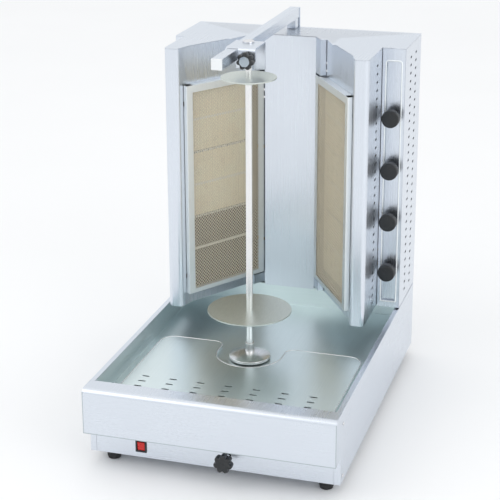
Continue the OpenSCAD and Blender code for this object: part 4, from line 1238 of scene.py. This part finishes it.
class BROILER_OT_tap_knobs(BroilerOperator, bpy.types.Operator):
    """Moulds the tap knobs with their grips and pointers"""

    bl_idname = "broiler.tap_knobs"
    bl_label = "Tap knobs"

    def build(self, context):
        knob = context.scene.broiler_knob
        for name in sorted(n for n in frame["nodes"] if n.startswith("tap_knob")):
            low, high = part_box(name)
            radius = (high.x - low.x) / 2
            thick = high.y - low.y
            middle = Vector(((low.x + high.x) / 2, high.y, (low.z + high.z) / 2))
            place = along_axis(middle, FORWARD)
            drum = thick * DRUM_START
            edge = radius * DRUM_EDGE
            collar, inside = radius * COLLAR_R, drum * 1.1
            bm = turned(bmesh.new(), [(0, 0.0002), (collar, 0.0002), (collar, inside),
                                      (0, inside)], 48)
            turned(bm, rounded_profile(radius * DRUM_R, drum, thick, edge), 96)
            bmesh.ops.recalc_face_normals(bm, faces=bm.faces)
            mesh = bpy.data.meshes.new(name)
            bm.to_mesh(mesh)
            bm.free()
            tall = thick - drum - edge * 2.2
            made = grown("moulded_" + name, mesh, "Ring of grips", {
                "Count": knob.grips, "Radius": radius * GRIP_R,
                "Rib": (radius * GRIP_W, radius * GRIP_W, tall),
                "Height": drum + edge + tall / 2, "Finish": finishes()["Knob plastic"]})
            made.data.shade_smooth()
            made.data.set_sharp_from_angle(angle=SMOOTH)
            made.data.transform(place)
            body = frame["nodes"][name]["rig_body"]
            finished(made, "Knob plastic", "black_plastic", body, name)
            self.pointer(name, place, radius, thick, body)

    def pointer(self, name, place, radius, thick, body):
        bm = bmesh.new()
        bmesh.ops.create_cube(bm, size=1.0)
        bmesh.ops.scale(bm, vec=(radius * POINTER_W, radius * POINTER_L, POINTER_T),
                        verts=bm.verts)
        bmesh.ops.bevel(bm, geom=bm.edges, offset=0.00015, segments=2, affect="EDGES", profile=0.5)
        bmesh.ops.translate(bm, vec=(0, radius * POINTER_AT, thick), verts=bm.verts)
        obj = from_bmesh(name + "_pointer", bm)
        obj.data.transform(place)
        finished(obj, "Knob plastic", "black_plastic", body)


class BROILER_OT_switch(BroilerOperator, bpy.types.Operator):
    """Rounds the switch's bezel and rocker"""

    bl_idname = "broiler.switch"
    bl_label = "Switch"

    def build(self, context):
        rim = context.scene.broiler_sheet.rim
        rounded("moulded_bezel", ["switch_bezel"], "Knob plastic", "black_plastic", rim * 2, rim,
                rim)
        rounded("moulded_rocker", ["switch_rocker"], "Rocker red", "red_plastic", rim * 3, rim,
                rim * 2)


class BROILER_OT_screws(BroilerOperator, bpy.types.Operator):
    """Sets domed screws with a round recess"""

    bl_idname = "broiler.screws"
    bl_label = "Screws"

    def build(self, context):
        places, ways = [], []
        middle = (CAD_BOX[0] + CAD_BOX[1]) / 2
        radius, height = 0.0, 0.0
        for low, high in islands("screws"):
            size = high - low
            axis = min(range(3), key=lambda i: size[i])
            spot = (low + high) / 2
            out = 1.0 if spot[axis] > middle[axis] else -1.0
            way = Vector((0, 0, 0))
            way[axis] = out
            spot[axis] = low[axis] if out > 0 else high[axis]
            places.append(spot)
            ways.append(way)
            radius, height = max(size) / 2, min(size)
        bm = turned(bmesh.new(), scaled(SCREW_PROFILE, radius, height), 24)
        bmesh.ops.recalc_face_normals(bm, faces=bm.faces)
        shape = from_bmesh("screw_shape", bm)
        made = scattered("domed_screws", shape, places, ways, "Polished steel")
        finished(made, "Polished steel", "bright_steel", HOUSING, "screws")


INNER_FINISHES = {
    "gas_manifold": "Brass", "gas_valves": "Brass", "gas_inlet": "Brass",
    "supply_pipes": "Brass", "power_gland": "Knob plastic", "terminal_block": "White plastic",
    "motor": "Cast steel", "gearbox": "Cast steel", "carriage_plate": "Brushed sheet",
    "carriage_rails": "Brushed sheet", "carriage_rod": "Polished steel",
    "tap_stem_1": "Polished steel", "tap_stem_2": "Polished steel",
    "tap_stem_3": "Polished steel", "tap_stem_4": "Polished steel",
}


class BROILER_OT_inner_parts(BroilerOperator, bpy.types.Operator):
    """Gives the parts that keep their CAD shape their finishes"""

    bl_idname = "broiler.inner_parts"
    bl_label = "Inner parts"

    def build(self, context):
        for name, finish in INNER_FINISHES.items():
            obj = frame["nodes"][name]
            for holder in obj.material_slots:
                holder.material = finishes()[finish]


class BROILER_OT_stage(BroilerOperator, bpy.types.Operator):
    """Lays the floor, hangs the lights and places the camera"""

    bl_idname = "broiler.stage"
    bl_label = "Stage"

    def build(self, context):
        stage = context.scene.broiler_stage
        middle = (CAD_BOX[0] + CAD_BOX[1]) / 2
        reach = (CAD_BOX[1] - CAD_BOX[0]).length
        self.floor(stage, reach)
        self.room(context, stage)
        self.lamp("Key lamp", middle + KEY_PLACE * reach, middle, KEY_SIZE * reach, stage.key)
        self.lamp("Fill lamp", middle + FILL_PLACE * reach, middle, FILL_SIZE * reach,
                  stage.key * FILL_SHARE)
        data = bpy.data.cameras.new("Camera")
        camera = new_object("Camera", data)
        data.lens = stage.lens
        data.sensor_width = SENSOR_W
        data.shift_y = stage.shift
        data.clip_end = VIEW_END
        aim = middle + Vector(stage.target)
        back = Vector((math.sin(stage.turn) * math.cos(stage.drop),
                       -math.cos(stage.turn) * math.cos(stage.drop), math.sin(stage.drop)))
        camera.location = aim + back * stage.distance
        camera.rotation_mode = "QUATERNION"
        look = (-back).to_track_quat("-Z", "Y")
        camera.rotation_quaternion = look @ Matrix.Rotation(stage.roll, 4, "Z").to_quaternion()
        context.scene.camera = camera
        context.scene.view_settings.view_transform = "Standard"

    def floor(self, stage, reach):
        made, tree, shader = blank_material("Studio floor")
        place = node(tree, "ShaderNodeTexCoord").outputs["Object"]
        cloud = node(tree, "ShaderNodeTexNoise", {"Vector": place, "Scale": 1.2, "Detail": 2.0})
        pale = tuple(stage.floor)
        tint = shades(tree, cloud.outputs[0], (0.3, [c * 0.985 for c in pale]), (0.7, pale))
        tree.links.new(tint, shader.inputs["Base Color"])
        shader.inputs["Roughness"].default_value = 0.85
        mesh = bpy.data.meshes.new("studio_floor")
        half = FLOOR_HALF * reach
        mesh.from_pydata([(-half, -half, 0), (half, -half, 0), (half, half, 0), (-half, half, 0)],
                         [], [(0, 1, 2, 3)])
        mesh.materials.append(made)
        new_object("studio_floor", mesh)

    def room(self, context, stage):
        world = bpy.data.worlds.new("Studio")
        world.use_nodes = True
        tree = world.node_tree
        shade = next(n for n in tree.nodes if n.type == "BACKGROUND")
        place = node(tree, "ShaderNodeTexCoord").outputs["Generated"]
        ways = node(tree, "ShaderNodeSeparateXYZ", {0: place})
        up = ways.outputs[2]
        beside = math_node(tree, "ABSOLUTE", ways.outputs[0])
        sky = shades(tree, spread(tree, up, -0.2, 1.0, 0.0, 1.0), *SKY)
        dim = shades(tree, spread(tree, beside, 0.45, 1.0, 0.0, 1.0), *SIDES)
        tree.links.new(mix_colour(tree, 1.0, sky, dim, "MULTIPLY"), shade.inputs[0])
        shade.inputs[1].default_value = stage.sky
        context.scene.world = world

    def lamp(self, name, place, aim, size, power):
        data = bpy.data.lights.new(name, "AREA")
        data.energy = power
        data.size = size
        lamp = new_object(name, data)
        lamp.location = place
        lamp.rotation_euler = (aim - place).to_track_quat("-Z", "Y").to_euler()


OPERATORS = (
    BROILER_OT_base, BROILER_OT_feet, BROILER_OT_tray, BROILER_OT_drip_plate,
    BROILER_OT_housing, BROILER_OT_burner_frames, BROILER_OT_guard_mesh, BROILER_OT_tiles,
    BROILER_OT_burner_bodies, BROILER_OT_spit, BROILER_OT_arm, BROILER_OT_star_knobs,
    BROILER_OT_tap_knobs, BROILER_OT_switch, BROILER_OT_screws, BROILER_OT_inner_parts,
    BROILER_OT_stage,
)


class BROILER_PT_panel(bpy.types.Panel):
    """Sizes and finishes of the broiler, and the steps that build it"""

    bl_idname = "BROILER_PT_panel"
    bl_label = "Upright broiler"
    bl_space_type = "VIEW_3D"
    bl_region_type = "UI"
    bl_category = "Broiler"

    def draw(self, context):
        for name, group in SETTINGS.items():
            box = self.layout.box()
            box.label(text=group.__doc__)
            for key in group.__annotations__:
                box.prop(getattr(context.scene, name), key)
        for operator in OPERATORS:
            self.layout.operator(operator.bl_idname)


def register():
    for group in (*SETTINGS.values(), *OPERATORS, BROILER_PT_panel):
        bpy.utils.register_class(group)
    for name, group in SETTINGS.items():
        setattr(bpy.types.Scene, name, PointerProperty(type=group))


def unregister():
    for name in SETTINGS:
        delattr(bpy.types.Scene, name)
    for group in reversed((*SETTINGS.values(), *OPERATORS, BROILER_PT_panel)):
        bpy.utils.unregister_class(group)


def main():
    register()
    for operator in OPERATORS:
        module, name = operator.bl_idname.split(".")
        getattr(getattr(bpy.ops, module), name)()


if __name__ == "__main__":
    main()
